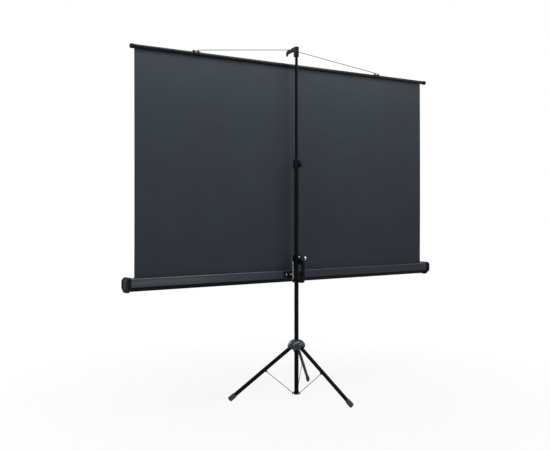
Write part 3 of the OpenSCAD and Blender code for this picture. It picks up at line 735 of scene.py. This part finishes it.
class SCREEN_OT_cloth(Operator):
    """Hangs the cloth: dark coating behind, white viewing face with black borders in front"""

    bl_idname = "screen.cloth"
    bl_label = "Cloth"

    # Height, wavelength over a full turn in millimetres, start and drift down the cloth of each wave
    waves = ((1, 128, 0, 0.8), (0.6, 71, -1.9, 1.4), (0.35, 37, 0, 2.3))
    slot_top, slot_fade, bar_fade = 812, 160, 60

    def wave(self, x, z, depth, curl):
        """How far the cloth stands off its plane, in millimetres."""
        drop = (z - CLOTH_LOW) / (CLOTH_TOP - CLOTH_LOW)
        # The cloth lies flat in the case's slot and at the top bar
        low, high = (z - self.slot_top) / self.slot_fade, (CLOTH_TOP - z) / self.bar_fade
        free = min(1, max(0, low)) * min(1, max(0, high))
        soft = sum(tall * math.sin(x / w + start + drift * drop) for tall, w, start, drift in self.waves)
        side = abs(x) / CLOTH_HALF
        lift = curl * max(0, (side - 0.965) / 0.035) ** 2 * math.sin(math.pi * min(1, drop * 1.02))
        return free * (depth * soft / 1.95 * (0.35 + 0.65 * (1 - drop)) + lift)

    def panel(self, name, low, high, joint, travel, stands_for):
        """One panel, from a grid whose flat coordinates are kept for the pattern."""
        bm = bmesh.new()
        place = Matrix.Translation((SCREEN_X, CLOTH_Y, (low + high) / 2))
        upright = Matrix.Rotation(math.radians(90), 4, "X")
        scale = Matrix.Diagonal((CLOTH_HALF, (high - low) / 2, 1, 1))
        bmesh.ops.create_grid(
            bm, x_segments=150, y_segments=44, size=1, matrix=place @ upright @ scale
        )
        ripple, curl = length("ripple"), length("edge_curl")
        for v in bm.verts:
            v.co.y += self.wave(v.co.x - SCREEN_X, v.co.z, ripple, curl)
        bmesh.ops.recalc_face_normals(bm, faces=bm.faces)
        bmesh.ops.solidify(bm, geom=bm.faces[:], thickness=length("cloth_thickness"))
        bmesh.ops.recalc_face_normals(bm, faces=bm.faces)
        laid_flat(bm, lambda x, y, z: ((x - SCREEN_X) * MM, (z - CLOTH_LOW) * MM))
        for face in bm.faces:
            # The back and the rims take the first finish and the viewing face the second
            face.material_index = 1 if face.normal.y < -0.7 else 0
        made = piece(bm, name, ["backing", "face"], "mast")
        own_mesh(made)
        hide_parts(stands_for)

    def execute(self, context):
        self.panel("cloth_lower", CLOTH_LOW, CLOTH_SPLIT, "case_height", CASE_TRAVEL, "fabric_lower")
        self.panel("cloth_upper", CLOTH_SPLIT, CLOTH_TOP, "mast_extension", MAST_TRAVEL, "fabric_upper")
        return {"FINISHED"}


class SCREEN_OT_roller(Operator):
    """Winds the turns of cloth that stay on the roller, and finishes the roller's hidden pieces"""

    bl_idname = "screen.roller"
    bl_label = "Roller"

    def execute(self, context):
        turns, step, gap, inner, mean_r_m = 2, 48, 0.75, 16.1, 0.02
        path = []
        for k in range(turns * step + 1):
            a = 2 * math.pi * k / step
            r = inner + gap * k / step
            path.append((r * math.cos(a), r * math.sin(a)))
        bm = bmesh.new()
        start = SCREEN_X - CLOTH_HALF
        unrolled(bm, [(start, ROLLER_Y + y, CASE_Z + z) for y, z in path], 2 * CLOTH_HALF)
        laid_flat(
            bm, lambda x, y, z: ((x - SCREEN_X) * MM, mean_r_m * math.atan2(z - CASE_Z, y - ROLLER_Y))
        )
        made = piece(
            bm, "cloth_roll", ["backing"], "roller", ["fabric_roll"], closed=False
        )
        shell = made.modifiers.new("thickness", "SOLIDIFY")
        shell.thickness = length("cloth_thickness") * MM
        shell.offset = 0
        dress("alloy", "roller_tube")
        dress("plastic", "roller_plugs")
        dress("steel", "spring_shaft", "idler_pin", "roller_spring")
        return {"FINISHED"}


def case_section(g, chamfer=5, slant=24, half=38):
    """Outline of the case in Y and Z about its centre, moved in by g."""
    k = math.sqrt(2) - 1
    h, t, b = half - g, half - chamfer - k * g, half - slant - k * g
    return [(h, -b), (h, t), (t, h), (-t, h), (-h, t), (-h, -b), (-b, -h), (b, -h)]


class SCREEN_OT_case(Operator):
    """Forms the long slotted case from one bent sheet with rolled lips"""

    bl_idname = "screen.case"
    bl_label = "Case"

    def execute(self, context):
        wall, slot_half, top, lip = 1.5, 6, 38, 33.5
        back, front = (CLOTH_Y + s * slot_half - CASE_Y for s in (1, -1))
        outline = case_section(0)
        # Round the section from the slot's back lip to its front lip
        ring = [(back, lip), (back, top), *(outline[k] for k in (2, 1, 0, 7, 6, 5, 4, 3))]
        ring += [(front, top), (front, lip)]
        bm = bmesh.new()
        start = SCREEN_X - CASE_HALF
        unrolled(bm, [(start, CASE_Y + y, CASE_Z + z) for y, z in ring], 2 * CASE_HALF)
        bevelled(bm, [e for e in bm.edges if len(e.link_faces) == 2], 1.9, 4)
        bmesh.ops.recalc_face_normals(bm, faces=bm.faces)
        rear = max(bm.faces, key=lambda f: f.calc_center_median().y)
        if rear.normal.y < 0:
            bmesh.ops.reverse_faces(bm, faces=bm.faces)
        bmesh.ops.solidify(bm, geom=bm.faces[:], thickness=wall)
        for face in bm.faces:
            # The slanted underside takes the matt black that paints its shade, the rest the case's
            # enamel
            face.material_index = 1 if face.normal.z < -0.3 else 0
        piece(
            bm, "case_shell", ["case", "matt"], "carriage", ["case_housing"], smooth=24
        )
        return {"FINISHED"}


class SCREEN_OT_end_caps(Operator):
    """Moulds the two caps that close the case, with a sunk outer panel and a hole for the shaft"""

    bl_idname = "screen.end_caps"
    bl_label = "End caps"

    def execute(self, context):
        square = case_section(-6)
        clipped = [(43.5, -16), (43.5, 31), (26, 43.5), (-6, 43.5)]
        clipped += [(-43.5, 26), (-43.5, -19), (-13, -43.5), (12, -43.5)]
        for side, hand in ((1, "left"), (-1, "right")):
            bm = bmesh.new()
            inner = SCREEN_X + side * (CASE_HALF - 8)
            rings = ((inner, square), (inner + side * 10, square), (inner + side * 22, clipped))
            hoops = [[bm.verts.new((x, CASE_Y + y, CASE_Z + z)) for y, z in shape] for x, shape in rings]
            for near, far in zip(hoops, hoops[1:]):
                for k in range(8):
                    n = (k + 1) % 8
                    bm.faces.new((near[k], near[n], far[n], far[k]))
            bm.faces.new(hoops[0])
            bm.faces.new(hoops[-1])
            bmesh.ops.recalc_face_normals(bm, faces=bm.faces)
            bevelled(bm, [e for e in bm.edges if abs(way_of(e).x) > 0.1], 3.6, 4)
            bm.normal_update()
            outer = max(bm.faces, key=lambda f: side * f.calc_center_median().x)
            for inset, depth in ((3.2, 0), (2, -2.6), (9, 0), (1.6, 1.2)):
                bmesh.ops.inset_region(bm, faces=[outer], thickness=inset, depth=0)
                bmesh.ops.translate(bm, vec=(side * depth, 0, 0), verts=outer.verts)
            rims = [
                e
                for e in sharp_edges(bm, 35)
                if all(side * (v.co.x - SCREEN_X) > CASE_HALF for v in e.verts)
            ]
            bevelled(bm, rims, 1.1, 3)
            # Opened round the case end so that the cap laps over it
            hollow = bmesh.new()
            lap = [(inner - side, CASE_Y + y, CASE_Z + z) for y, z in case_section(0)]
            drawn_out(hollow, lap, (side * 9, 0, 0))
            shaft = bmesh.new()
            start = SCREEN_X + side * (CASE_HALF - 4)
            rod(shaft, (start, ROLLER_Y, CASE_Z), (start + side * 12.6, ROLLER_Y, CASE_Z), 5.1, 32)
            moulding(holed(holed(bm, hollow), shaft), "cap_" + hand, "carriage", "end_cap_" + hand)
        dress("steel", "cap_screws")
        return {"FINISHED"}


class SCREEN_OT_top_bar(Operator):
    """Finishes the bar and makes its end caps, wire and brackets"""

    bl_idname = "screen.top_bar"
    bl_label = "Top bar and wire"

    def execute(self, context):
        dress("bar", "top_bar")
        dress("steel", "bar_spline")
        caps = bmesh.new()
        profile = [
            (0, 8), (12.05, 8), (12.05, 0), (13.5, 0), (14, 0.6), (14, 7), (13.5, 7.6),
            (13.5, 8.6), (14, 9.2), (14, 19), (13.6, 20.8), (12.4, 22.2), (10.8, 22.8),
            (9.6, 22.8), (9, 22), (3, 22), (2.4, 21), (0, 21),
        ]
        for side in (-1, 1):
            foot = (BAR_X + side * (BAR_HALF - 8), CLOTH_Y, BAR_Z)
            turned(caps, profile, toward(foot, (side, 0, 0)))
        moulding(caps, "bar_end_caps", "extension", "bar_caps")

        bends = ((-9, 0.16), (-5, 0), (5, 0), (9, 0.16))
        knees = [(x, CLOTH_Y, WIRE_Z - drop) for x, drop in bends]
        ends = [(WIRE_X + s * WIRE_HALF, CLOTH_Y, WIRE_FOOT_Z) for s in (-1, 1)]
        wire = swept([ends[0], *knees, ends[1]], 2.1)
        piece(wire, "hanging_wire", ["wire"], "extension", ["wire_bail"], smooth=60)

        brackets = bmesh.new()
        for side, end in zip((-1, 1), ends):
            self.bracket(brackets, side, Vector(end))
        piece(
            brackets, "wire_saddles", ["enamel", "zinc"], "extension", ["wire_brackets"],
        )
        return {"FINISHED"}

    @staticmethod
    def bracket(bm, side, end):
        """Two black bands round the bar with uprights, and a plated sleeve across them for the wire."""
        top = BAR_Z + BAR_R
        base, tail, sleeve_back, painted_mouth_shade = 54, 46, 42, 40.6
        turns = range(-50, 231, 10)
        ring = arc(CLOTH_Y, BAR_Z, BAR_R, turns) + arc(CLOTH_Y, BAR_Z, BAR_R + 1.7, reversed(turns))
        for step in (0, 30):
            near, far = sorted((end.x + side * step, end.x + side * (step + 10)))
            slab(bm, near, ring, far - near, 0.4, least=50)
            pad(bm, (near, CLOTH_Y - 2, top), (far, CLOTH_Y + 2, WIRE_FOOT_Z - 1.6), 0.5, 2)
            for turn in (-28, 208):
                out = Vector((0, math.cos(math.radians(turn)), math.sin(math.radians(turn))))
                spot = Vector(((near + far) / 2, CLOTH_Y, BAR_Z)) + out * (BAR_R + 1.5)
                turned(bm, [(0, 0), (2.8, 0), (2.6, 0.7), (1.8, 1.2), (0, 1.4)], toward(spot, out), 20)
        start = end.x - (base - tail if side > 0 else tail)
        pad(bm, (start, CLOTH_Y - 7, top - 1.5), (start + base, CLOTH_Y + 7, top + 2.4), 0.8)
        way = (Vector((side * 8, CLOTH_Y, WIRE_Z)) - end).normalized()
        shape = [
            (0, 0), (2.6, 0), (3.4, 0.6), (4, 1.4), (4, 6.4), (3.3, 7.2), (3.3, 8.8), (4, 9.6),
            (4, 44.4), (3.3, 45.2), (3.3, 46.8), (4, 47.6), (4, 52.2), (3, 53.6), (1.9, 54),
            (0, 54),
        ]
        sleeve = bmesh.new()
        turned(sleeve, shape, toward(end - sleeve_back * way, way), 28)
        for face in sleeve.faces:
            # Painted shade: the closed far end takes the black enamel to stand for the dark inside of
            # the sleeve's mouth
            face.material_index = 0 if (face.calc_center_median() - end).dot(way) < -painted_mouth_shade else 1
        joined(bm, sleeve)


class SCREEN_OT_hook(Operator):
    """Moulds the head that carries the wire on its beak"""

    bl_idname = "screen.hook"
    bl_label = "Hook head"

    def execute(self, context):
        bm = rounded_post((-12, -18, HOOK_Z), (12, 14, HOOK_Z + 64), 5)
        # A raised collar at the foot of the block
        collar = [(9.6, -2), (11.4, -2), (12, -1.2), (12, 4), (9.6, 4), (9.6, -2)]
        turned(bm, collar, toward((0, 0, HOOK_Z + 2), (0, 0, 1)))
        beak = [
            (-16, 10), (-45, 9), (-57, 4), (-60.9, 3.9), (-61, -0.6), (-61.9, -1.7), (-63, -2.1),
            (-64.1, -1.7), (-65, -0.6), (-65.1, 3.7), (-70, 3.5), (-96, 0), (-104, -6), (-107, -14),
            (-107, -24), (-104.7, -34), *arc(-102.25, -34, 2.5, range(200, 341, 20)),
            (-99.8, -34), (-97, -25), (-90, -23.8), (-81, -23.5), (-60, -19), (-16, -19),
        ]
        slab(bm, -6, [(y, WIRE_Z + z) for y, z in beak], 12, 1, least=35)
        rib = [(-17, 6), (-40, 4.5), (-54, 1), (-54, -6), (-17, -13)]
        for x in (-6.4, 5.2):
            slab(bm, x, [(y, WIRE_Z + z) for y, z in rib], 1.2, 0.4)
        moulding(bm, "hook_block", "extension", "hook_head")
        pins = bmesh.new()
        for side in (-1, 1):
            place = toward((side * 12, 0, HOOK_Z + 12), (side, 0, 0))
            turned(pins, [(0, -1.5), (2.6, -1.5), (2.6, 0.6), (1.9, 1.1), (0, 1.2)], place, 24)
        piece(pins, "hook_cross_pin", ["enamel"], "extension", ["hook_pin"])
        dress("enamel", "extension_tube")
        dress("nylon", "extension_plug")
        return {"FINISHED"}


class SCREEN_OT_mast(Operator):
    """Finishes the mast and makes the ribbed lock collar at its top"""

    bl_idname = "screen.mast"
    bl_label = "Mast and collar"

    def execute(self, context):
        dress("enamel", "mast_tube", "brace_spider", "hub_stop_ring")
        dress("nylon", "collar_bush")
        bm = bmesh.new()
        profile = [
            (14.02, 0), (17.6, 0), (19.4, 0.7), (20.4, 2.4), (20.4, 9), (19.9, 9.5), (19.9, 11),
            (20.3, 11.5), (20.3, 46.5), (19.9, 47), (19.9, 48.5), (20.4, 49), (20.4, 55.4),
            (19.4, 57.2), (17.6, 58), (10.4, 58), (10.1, 57), (10.1, 20.2), (14.02, 20.2),
            (14.02, 0),
        ]
        band_low, band_high, band_r = COLLAR_Z + 11.5, COLLAR_Z + 46.5, 19
        steps = 2 * context.scene.screen_sizes.collar_ribs
        turned(bm, profile, Matrix.Translation((0, 0, COLLAR_Z)), steps)
        bmesh.ops.recalc_face_normals(bm, faces=bm.faces)
        band = [
            f
            for f in bm.faces
            if abs(f.normal.z) < 0.05
            and band_low < f.calc_center_median().z < band_high
            and Vector(f.calc_center_median()[:2]).length > band_r
        ]
        band.sort(key=lambda f: math.atan2(*f.calc_center_median()[:2]))
        # Every second face of the band rises as a rib
        bmesh.ops.inset_individual(bm, faces=band[::2], thickness=0.35, depth=0.6)
        boss = bmesh.new()
        shape = [(3.1, 0), (10, 0), (10, 7.2), (9.2, 8), (3.1, 8), (3.1, 0)]
        turned(boss, shape, toward((0, 14, KNOB_Z), (0, 1, 0)))
        moved(boss, about_z(KNOB_TURN))
        joined(bm, boss)
        moulding(bm, "lock_collar_moulding", "mast", "lock_collar")
        return {"FINISHED"}


class SCREEN_OT_knob(Operator):
    """Moulds the lobed lock knob and its screw"""

    bl_idname = "screen.knob"
    bl_label = "Lock knob"

    def execute(self, context):
        lobes = context.scene.screen_sizes.knob_lobes
        steps, mean_r, swing, back, thick = 96, 21.2, 1.8, 23, 10
        outline = []
        for k in range(steps):
            a = 2 * math.pi * k / steps
            r = mean_r + swing * math.cos(lobes * a)
            outline.append((r * math.cos(a), back, KNOB_Z + r * math.sin(a)))
        bm = bmesh.new()
        drawn_out(bm, outline, (0, thick, 0))
        bmesh.ops.recalc_face_normals(bm, faces=bm.faces)
        front = max(bm.faces, key=lambda f: f.calc_center_median().y)
        rims = sharp_edges(bm, 50)
        for inset in (6, 1):
            bmesh.ops.inset_region(bm, faces=[front], thickness=inset, depth=0)
        bmesh.ops.translate(bm, vec=(0, -1.6, 0), verts=front.verts)
        bevelled(bm, [e for e in rims if e.is_valid], 2.2, 4)
        button = [(0, 0), (5.5, 0), (5.5, 1.2), (4.7, 1.9), (0, 2.1)]
        turned(bm, button, toward((0, 31, KNOB_Z), (0, 1, 0)), 32)
        tip, half_pitch = 9.9, 0.5
        thread = [(3 if k % 2 else 2.7, tip + half_pitch * k) for k in range(28)]
        screw = [(0, tip), *thread, (0, thread[-1][1])]
        turned(bm, screw, toward((0, 0, KNOB_Z), (0, 1, 0)), 24)
        moved(bm, about_z(KNOB_TURN))
        moulding(bm, "lock_knob", "collar_knob", "collar_knob")
        return {"FINISHED"}


def rounded_post(low, high, corner):
    """A box with rounded uprights and eased ends."""
    bm = bmesh.new()
    block(bm, low, high)
    bevelled(bm, [e for e in bm.edges if abs(way_of(e).z) > 0.9], corner, 5)
    eased(bm, length("moulding_edge"), least=50)
    return bm


class SCREEN_OT_carriage(Operator):
    """Moulds the two mast blocks and presses the plate that ties them"""

    bl_idname = "screen.carriage"
    bl_label = "Carriage"

    @staticmethod
    def mast_block(low, high, back):
        """A block with rounded uprights, and the bore for the mast."""
        bore = bmesh.new()
        rod(bore, (0, 0, low - 5), (0, 0, high + 5), MAST_R + 0.3, 64)
        return rounded_post((-20, -18.5, low), (20, back, high), 4), bore

    def execute(self, context):
        clamp, bore = self.mast_block(CLAMP_Z, CLAMP_Z + 39, 34)
        # The slot for the lever, then the grip grooves on both flanks
        block(bore, (-7.4, 18.3, 888.5), (7.4, 40, 920))
        for side in (-1, 1):
            for z in (CLAMP_Z + 9, CLAMP_Z + 17, CLAMP_Z + 25):
                block_at(bore, side, 18.9, 25, (-12, 16), (z, z + 3))
        moulding(holed(clamp, bore), "clamp_moulding", "carriage", "upper_clamp")
        guide, bore = self.mast_block(GUIDE_Z, GUIDE_Z + 15, 22)
        for side in (-1, 1):
            block_at(bore, side, 19.1, 25, (-12, 14), (GUIDE_Z + 5.5, GUIDE_Z + 9.5))
        moulding(holed(guide, bore), "guide_moulding", "carriage", "lower_guide")

        plate = bmesh.new()
        pad(plate, (-19, PLATE_FRONT, GUIDE_Z), (19, -18.5, 900), 0.5, 2)
        flange = [
            (-21.4, 748), *arc(-13.5, 755, 7, range(-90, 1, 15)), *arc(-13.5, 857, 7, range(0, 91, 15)),
            (-21.4, 864),
        ]
        for x in (-19, 16):
            slab(plate, x, flange, 3, 0.5, least=50)
        rivet = [(0, -0.5), (3, -0.5), (2.9, 0.5), (2, 0.95), (0, 1)]
        for side in (-1, 1):
            for z in (842, 768):
                turned(plate, rivet, toward((side * 19, -13, z), (side, 0, 0)), 20)
        piece(plate, "pivot_channel", ["zinc"], "carriage", ["pivot_plate"])
        dress("steel", "pivot_bolt", "pivot_nut", "lever_pin")
        return {"FINISHED"}


class SCREEN_OT_handle(Operator):
    """Moulds the D-shaped carrying handle"""

    bl_idname = "screen.handle"
    bl_label = "Handle"

    def execute(self, context):
        side = [
            (22.1, 731), *arc(62, 749, 18, range(-90, 1, 10)),
            *arc(62, 860, 18, range(0, 91, 10)),
            (34.1, 878), (34.1, 865.9), (20, 865.9), (20, 850),
            *arc(52, 842, 8, range(90, -1, -15)), *arc(52, 759, 8, range(0, -91, -15)),
            (22.1, 751),
        ]
        bm = bmesh.new()
        drawn_out(bm, [(-9, y, z) for y, z in side], (18, 0, 0))
        bmesh.ops.recalc_face_normals(bm, faces=bm.faces)
        rims = [
            e
            for e in sharp_edges(bm, 50)
            if abs(way_of(e).x) < 0.1 and any(v.co.y > 35 for v in e.verts)
        ]
        bevelled(bm, rims, length("grip_edge"), 5)
        # Shallow ribs across the inside of the grip
        for k in range(9):
            z = 772 + 8 * k
            pad(bm, (-5.5, 59.2, z), (5.5, 61.5, z + 3.2), 0.6, 2)
        moulding(bm, "handle_moulding", "carriage", "carry_handle")
        return {"FINISHED"}


class SCREEN_OT_saddle(Operator):
    """Moulds the saddle behind the case and drives in its screws"""

    bl_idname = "screen.saddle"
    bl_label = "Saddle"

    def execute(self, context):
        bm = bmesh.new()
        pad(bm, (-78, CASE_BACK, BOLT_Z - 19.5), (78, PLATE_FRONT, BOLT_Z + 19.5), 1.8)
        pockets = bmesh.new()
        for side in (-1, 1):
            for z in (BOLT_Z - 13, BOLT_Z + 3):
                block_at(pockets, side, 33, 56, (-23, -20), (z, z + 10))
        moulding(holed(bm, pockets), "saddle_moulding", "carriage", "case_saddle")
        screws = bmesh.new()
        for x in (-62, -27, 27, 62):
            screw_head(screws, (x, PLATE_FRONT - 0.1, BOLT_Z), (0, 1, 0))
        piece(
            screws, "saddle_screw_heads", ["steel"], "carriage", ["saddle_screws"]
        )
        return {"FINISHED"}


class SCREEN_OT_height_lever(Operator):
    """Bends the plated lever that locks the carriage"""

    bl_idname = "screen.height_lever"
    bl_label = "Height lever"

    def execute(self, context):
        pin_y, pin_z, reach, top, thick = 26.5, 896, 88, 902, 3
        outer, centre = 11, 891
        low = centre - outer
        bend = range(90, -91, -12)
        side = [
            (pin_y, top), *arc(reach, centre, outer, bend),
            (reach - 15, low), (reach - 16, low + 1.5), (reach - 15, low + thick),
            *arc(reach, centre, outer - thick, reversed(bend)), (pin_y, top - thick),
        ]
        bm = bmesh.new()
        slab(bm, -4.5, side, 9, 0.7, 3, 50)
        eye = [(2.55, -7), (6.2, -7), (6.5, -6.6), (6.5, 6.6), (6.2, 7), (2.55, 7), (2.55, -7)]
        turned(bm, eye, toward((0, pin_y, pin_z), (1, 0, 0)), 40)
        piece(bm, "bent_lever", ["chrome"], "height_lever", ["height_lever"])
        return {"FINISHED"}


class SCREEN_OT_hub(Operator):
    """Moulds the glossy domed hub cover with a door for each leg"""

    bl_idname = "screen.hub"
    bl_label = "Hub"

    @staticmethod
    def shell(g, low=-52, count=44):
        """The dome's section, moved in by g."""
        r, up, down = 57.5 - g, 44 - g, 30 - g
        last = math.degrees(math.acos(14.8 / r))
        turns = [math.radians(low + (last - low) * k / count) for k in range(count + 1)]
        return [(r * math.cos(t), (up if t > 0 else down) * math.sin(t)) for t in turns]

    def execute(self, context):
        # A fine parting groove runs round the widest place
        outer = [(x - (0.7 if abs(z) < 1 else 0), z) for x, z in self.shell(0)]
        closed = [*outer, *reversed(self.shell(2.5)), outer[0]]
        bm = bmesh.new()
        turned(bm, closed, Matrix.Translation((0, 0, HUB_Z)), 96)
        doors = bmesh.new()
        for turn in LEG_TURNS:
            made = block(doors, (20, -14.5, HUB_Z - 40), (90, 14.5, HINGE_Z + 12))
            bmesh.ops.transform(doors, matrix=about_z(turn), verts=made)
        cover = holed(bm, doors)
        for turn in LEG_TURNS:
            boss = bmesh.new()
            shape = [(2.05, 0), (4, 0), (4, 19.5), (2.05, 19.5), (2.05, 0)]
            turned(boss, shape, Matrix.Translation((26, 0, HINGE_Z + 29)), 24)
            moved(boss, about_z(turn + 60))
            joined(cover, boss)
        moulding(cover, "hub_dome", "hub", "hub_cover", "gloss_plastic")
        dress("enamel", "hub_yoke")
        dress("nylon", "hub_bush")
        dress("steel", "hub_screws", "leg_pins")
        return {"FINISHED"}


class SCREEN_OT_legs(Operator):
    """Finishes the legs, their lugs and braces, and heads the rivets"""

    bl_idname = "screen.legs"
    bl_label = "Legs and braces"

    def execute(self, context):
        head = [(0, 0), (3, 0), (2.9, 0.5), (2, 1.1), (0, 1.25)]
        along, under, half = 212, -20, 3.9
        for k in range(3):
            n = str(k + 1)
            dress("enamel", "leg_" + n, "leg_lug_" + n)
            dress("wire", "brace_" + n)
            dress("steel", "brace_pin_" + n)
            bm = bmesh.new()
            for side in (-1, 1):
                turned(bm, head, toward((along, side * half, under), (0, side, 0)), 20)
            rod(bm, (along, -half, under), (along, half, under), 1.7, 20)
            moved(bm, leg_place(k))
            piece(
                bm, "brace_rivet_" + n, ["steel"], "leg_" + n, ["lug_rivet_" + n]
            )
        return {"FINISHED"}


class SCREEN_OT_feet(Operator):
    """Moulds the rubber boots with grip rings and a worn flat"""

    bl_idname = "screen.feet"
    bl_label = "Feet"

    def execute(self, context):
        # Distance from the end of the leg's length, half height and half width of each ring
        rings = [
            (-36, 13.4, 8.4), (-36, 15.6, 9.6), (-35, 16.6, 10.6), (-32.5, 16.6, 10.6),
            (-31.5, 15.8, 9.8), (-30, 15.8, 9.8), (-29, 16.6, 10.6), (-26.5, 16.6, 10.6),
            (-25.5, 15.8, 9.8), (-24, 15.8, 9.8), (-23, 16.6, 10.6), (-20.5, 16.6, 10.6),
            (-19.5, 15.9, 9.9), (-17.5, 16.6, 10.6), (-12, 17, 11), (0, 17, 11),
            (3.4, 16.5, 10.5), (6.5, 14.9, 8.9), (9, 12.3, 6.3), (10.4, 9.3, 3.4), (10.95, 7, 1.2),
        ]
        for k in range(3):
            bm = bmesh.new()
            disc = bmesh.ops.create_circle(bm, cap_ends=True, radius=1, segments=48)
            face = disc["verts"][0].link_faces[0]
            self.shape_ring(face.verts, rings[0])
            for ring in rings[1:]:
                out = bmesh.ops.extrude_face_region(bm, geom=[face, *face.edges])
                face = next(g for g in out["geom"] if isinstance(g, bmesh.types.BMFace))
                self.shape_ring(face.verts, ring)
            moved(bm, leg_place(k) @ Matrix.Translation((LEG_LEN, 0, 0)))
            everything = bm.verts[:] + bm.edges[:] + bm.faces[:]
            cut = bmesh.ops.bisect_plane(
                bm, geom=everything, plane_co=(0, 0, 0), plane_no=(0, 0, -1), clear_outer=True
            )
            seam = [g for g in cut["geom_cut"] if isinstance(g, bmesh.types.BMEdge)]
            bmesh.ops.edgeloop_fill(bm, edges=seam)
            n = str(k + 1)
            piece(bm, "rubber_boot_" + n, ["rubber"], "leg_" + n, ["foot_" + n])
        return {"FINISHED"}

    @staticmethod
    def shape_ring(verts, ring):
        """Lays a ring's points on an oval with straight flanks, across X."""
        along, tall, wide = ring
        straight = tall - wide
        for k, v in enumerate(verts):
            a = 2 * math.pi * k / len(verts)
            y, z = wide * math.sin(a), wide * math.cos(a)
            v.co = (along, y, z + (straight if z > 0 else -straight))


PIECES = (
    SCREEN_OT_stage,
    SCREEN_OT_cloth,
    SCREEN_OT_roller,
    SCREEN_OT_case,
    SCREEN_OT_end_caps,
    SCREEN_OT_top_bar,
    SCREEN_OT_hook,
    SCREEN_OT_mast,
    SCREEN_OT_knob,
    SCREEN_OT_carriage,
    SCREEN_OT_handle,
    SCREEN_OT_saddle,
    SCREEN_OT_height_lever,
    SCREEN_OT_hub,
    SCREEN_OT_legs,
    SCREEN_OT_feet,
)


class SCREEN_PT_pieces(Panel):
    """Lists the screen's pieces, sizes and colours"""

    bl_label = "Projection screen"
    bl_idname = "SCREEN_PT_pieces"
    bl_space_type = "VIEW_3D"
    bl_region_type = "UI"
    bl_category = "Screen"

    def draw(self, context):
        layout = self.layout
        for group, held in ((ScreenSizes, "screen_sizes"), (ScreenColours, "screen_colours")):
            column = layout.column()
            for key in group.__annotations__:
                column.prop(getattr(context.scene, held), key)
        for made in PIECES:
            layout.operator(made.bl_idname)


CLASSES = (ScreenSizes, ScreenColours, *PIECES, SCREEN_PT_pieces)


def register():
    """Adds the panel, the operators and the scene's settings."""
    for made in CLASSES:
        bpy.utils.register_class(made)
    bpy.types.Scene.screen_sizes = PointerProperty(type=ScreenSizes)
    bpy.types.Scene.screen_colours = PointerProperty(type=ScreenColours)


def unregister():
    """Takes them away again."""
    del bpy.types.Scene.screen_colours
    del bpy.types.Scene.screen_sizes
    for made in reversed(CLASSES):
        bpy.utils.unregister_class(made)


def main():
    """Makes every piece in order."""
    register()
    for made in PIECES:
        group, name = made.bl_idname.split(".")
        getattr(getattr(bpy.ops, group), name)()
    bpy.context.view_layer.update()


if __name__ == "__main__":
    main()
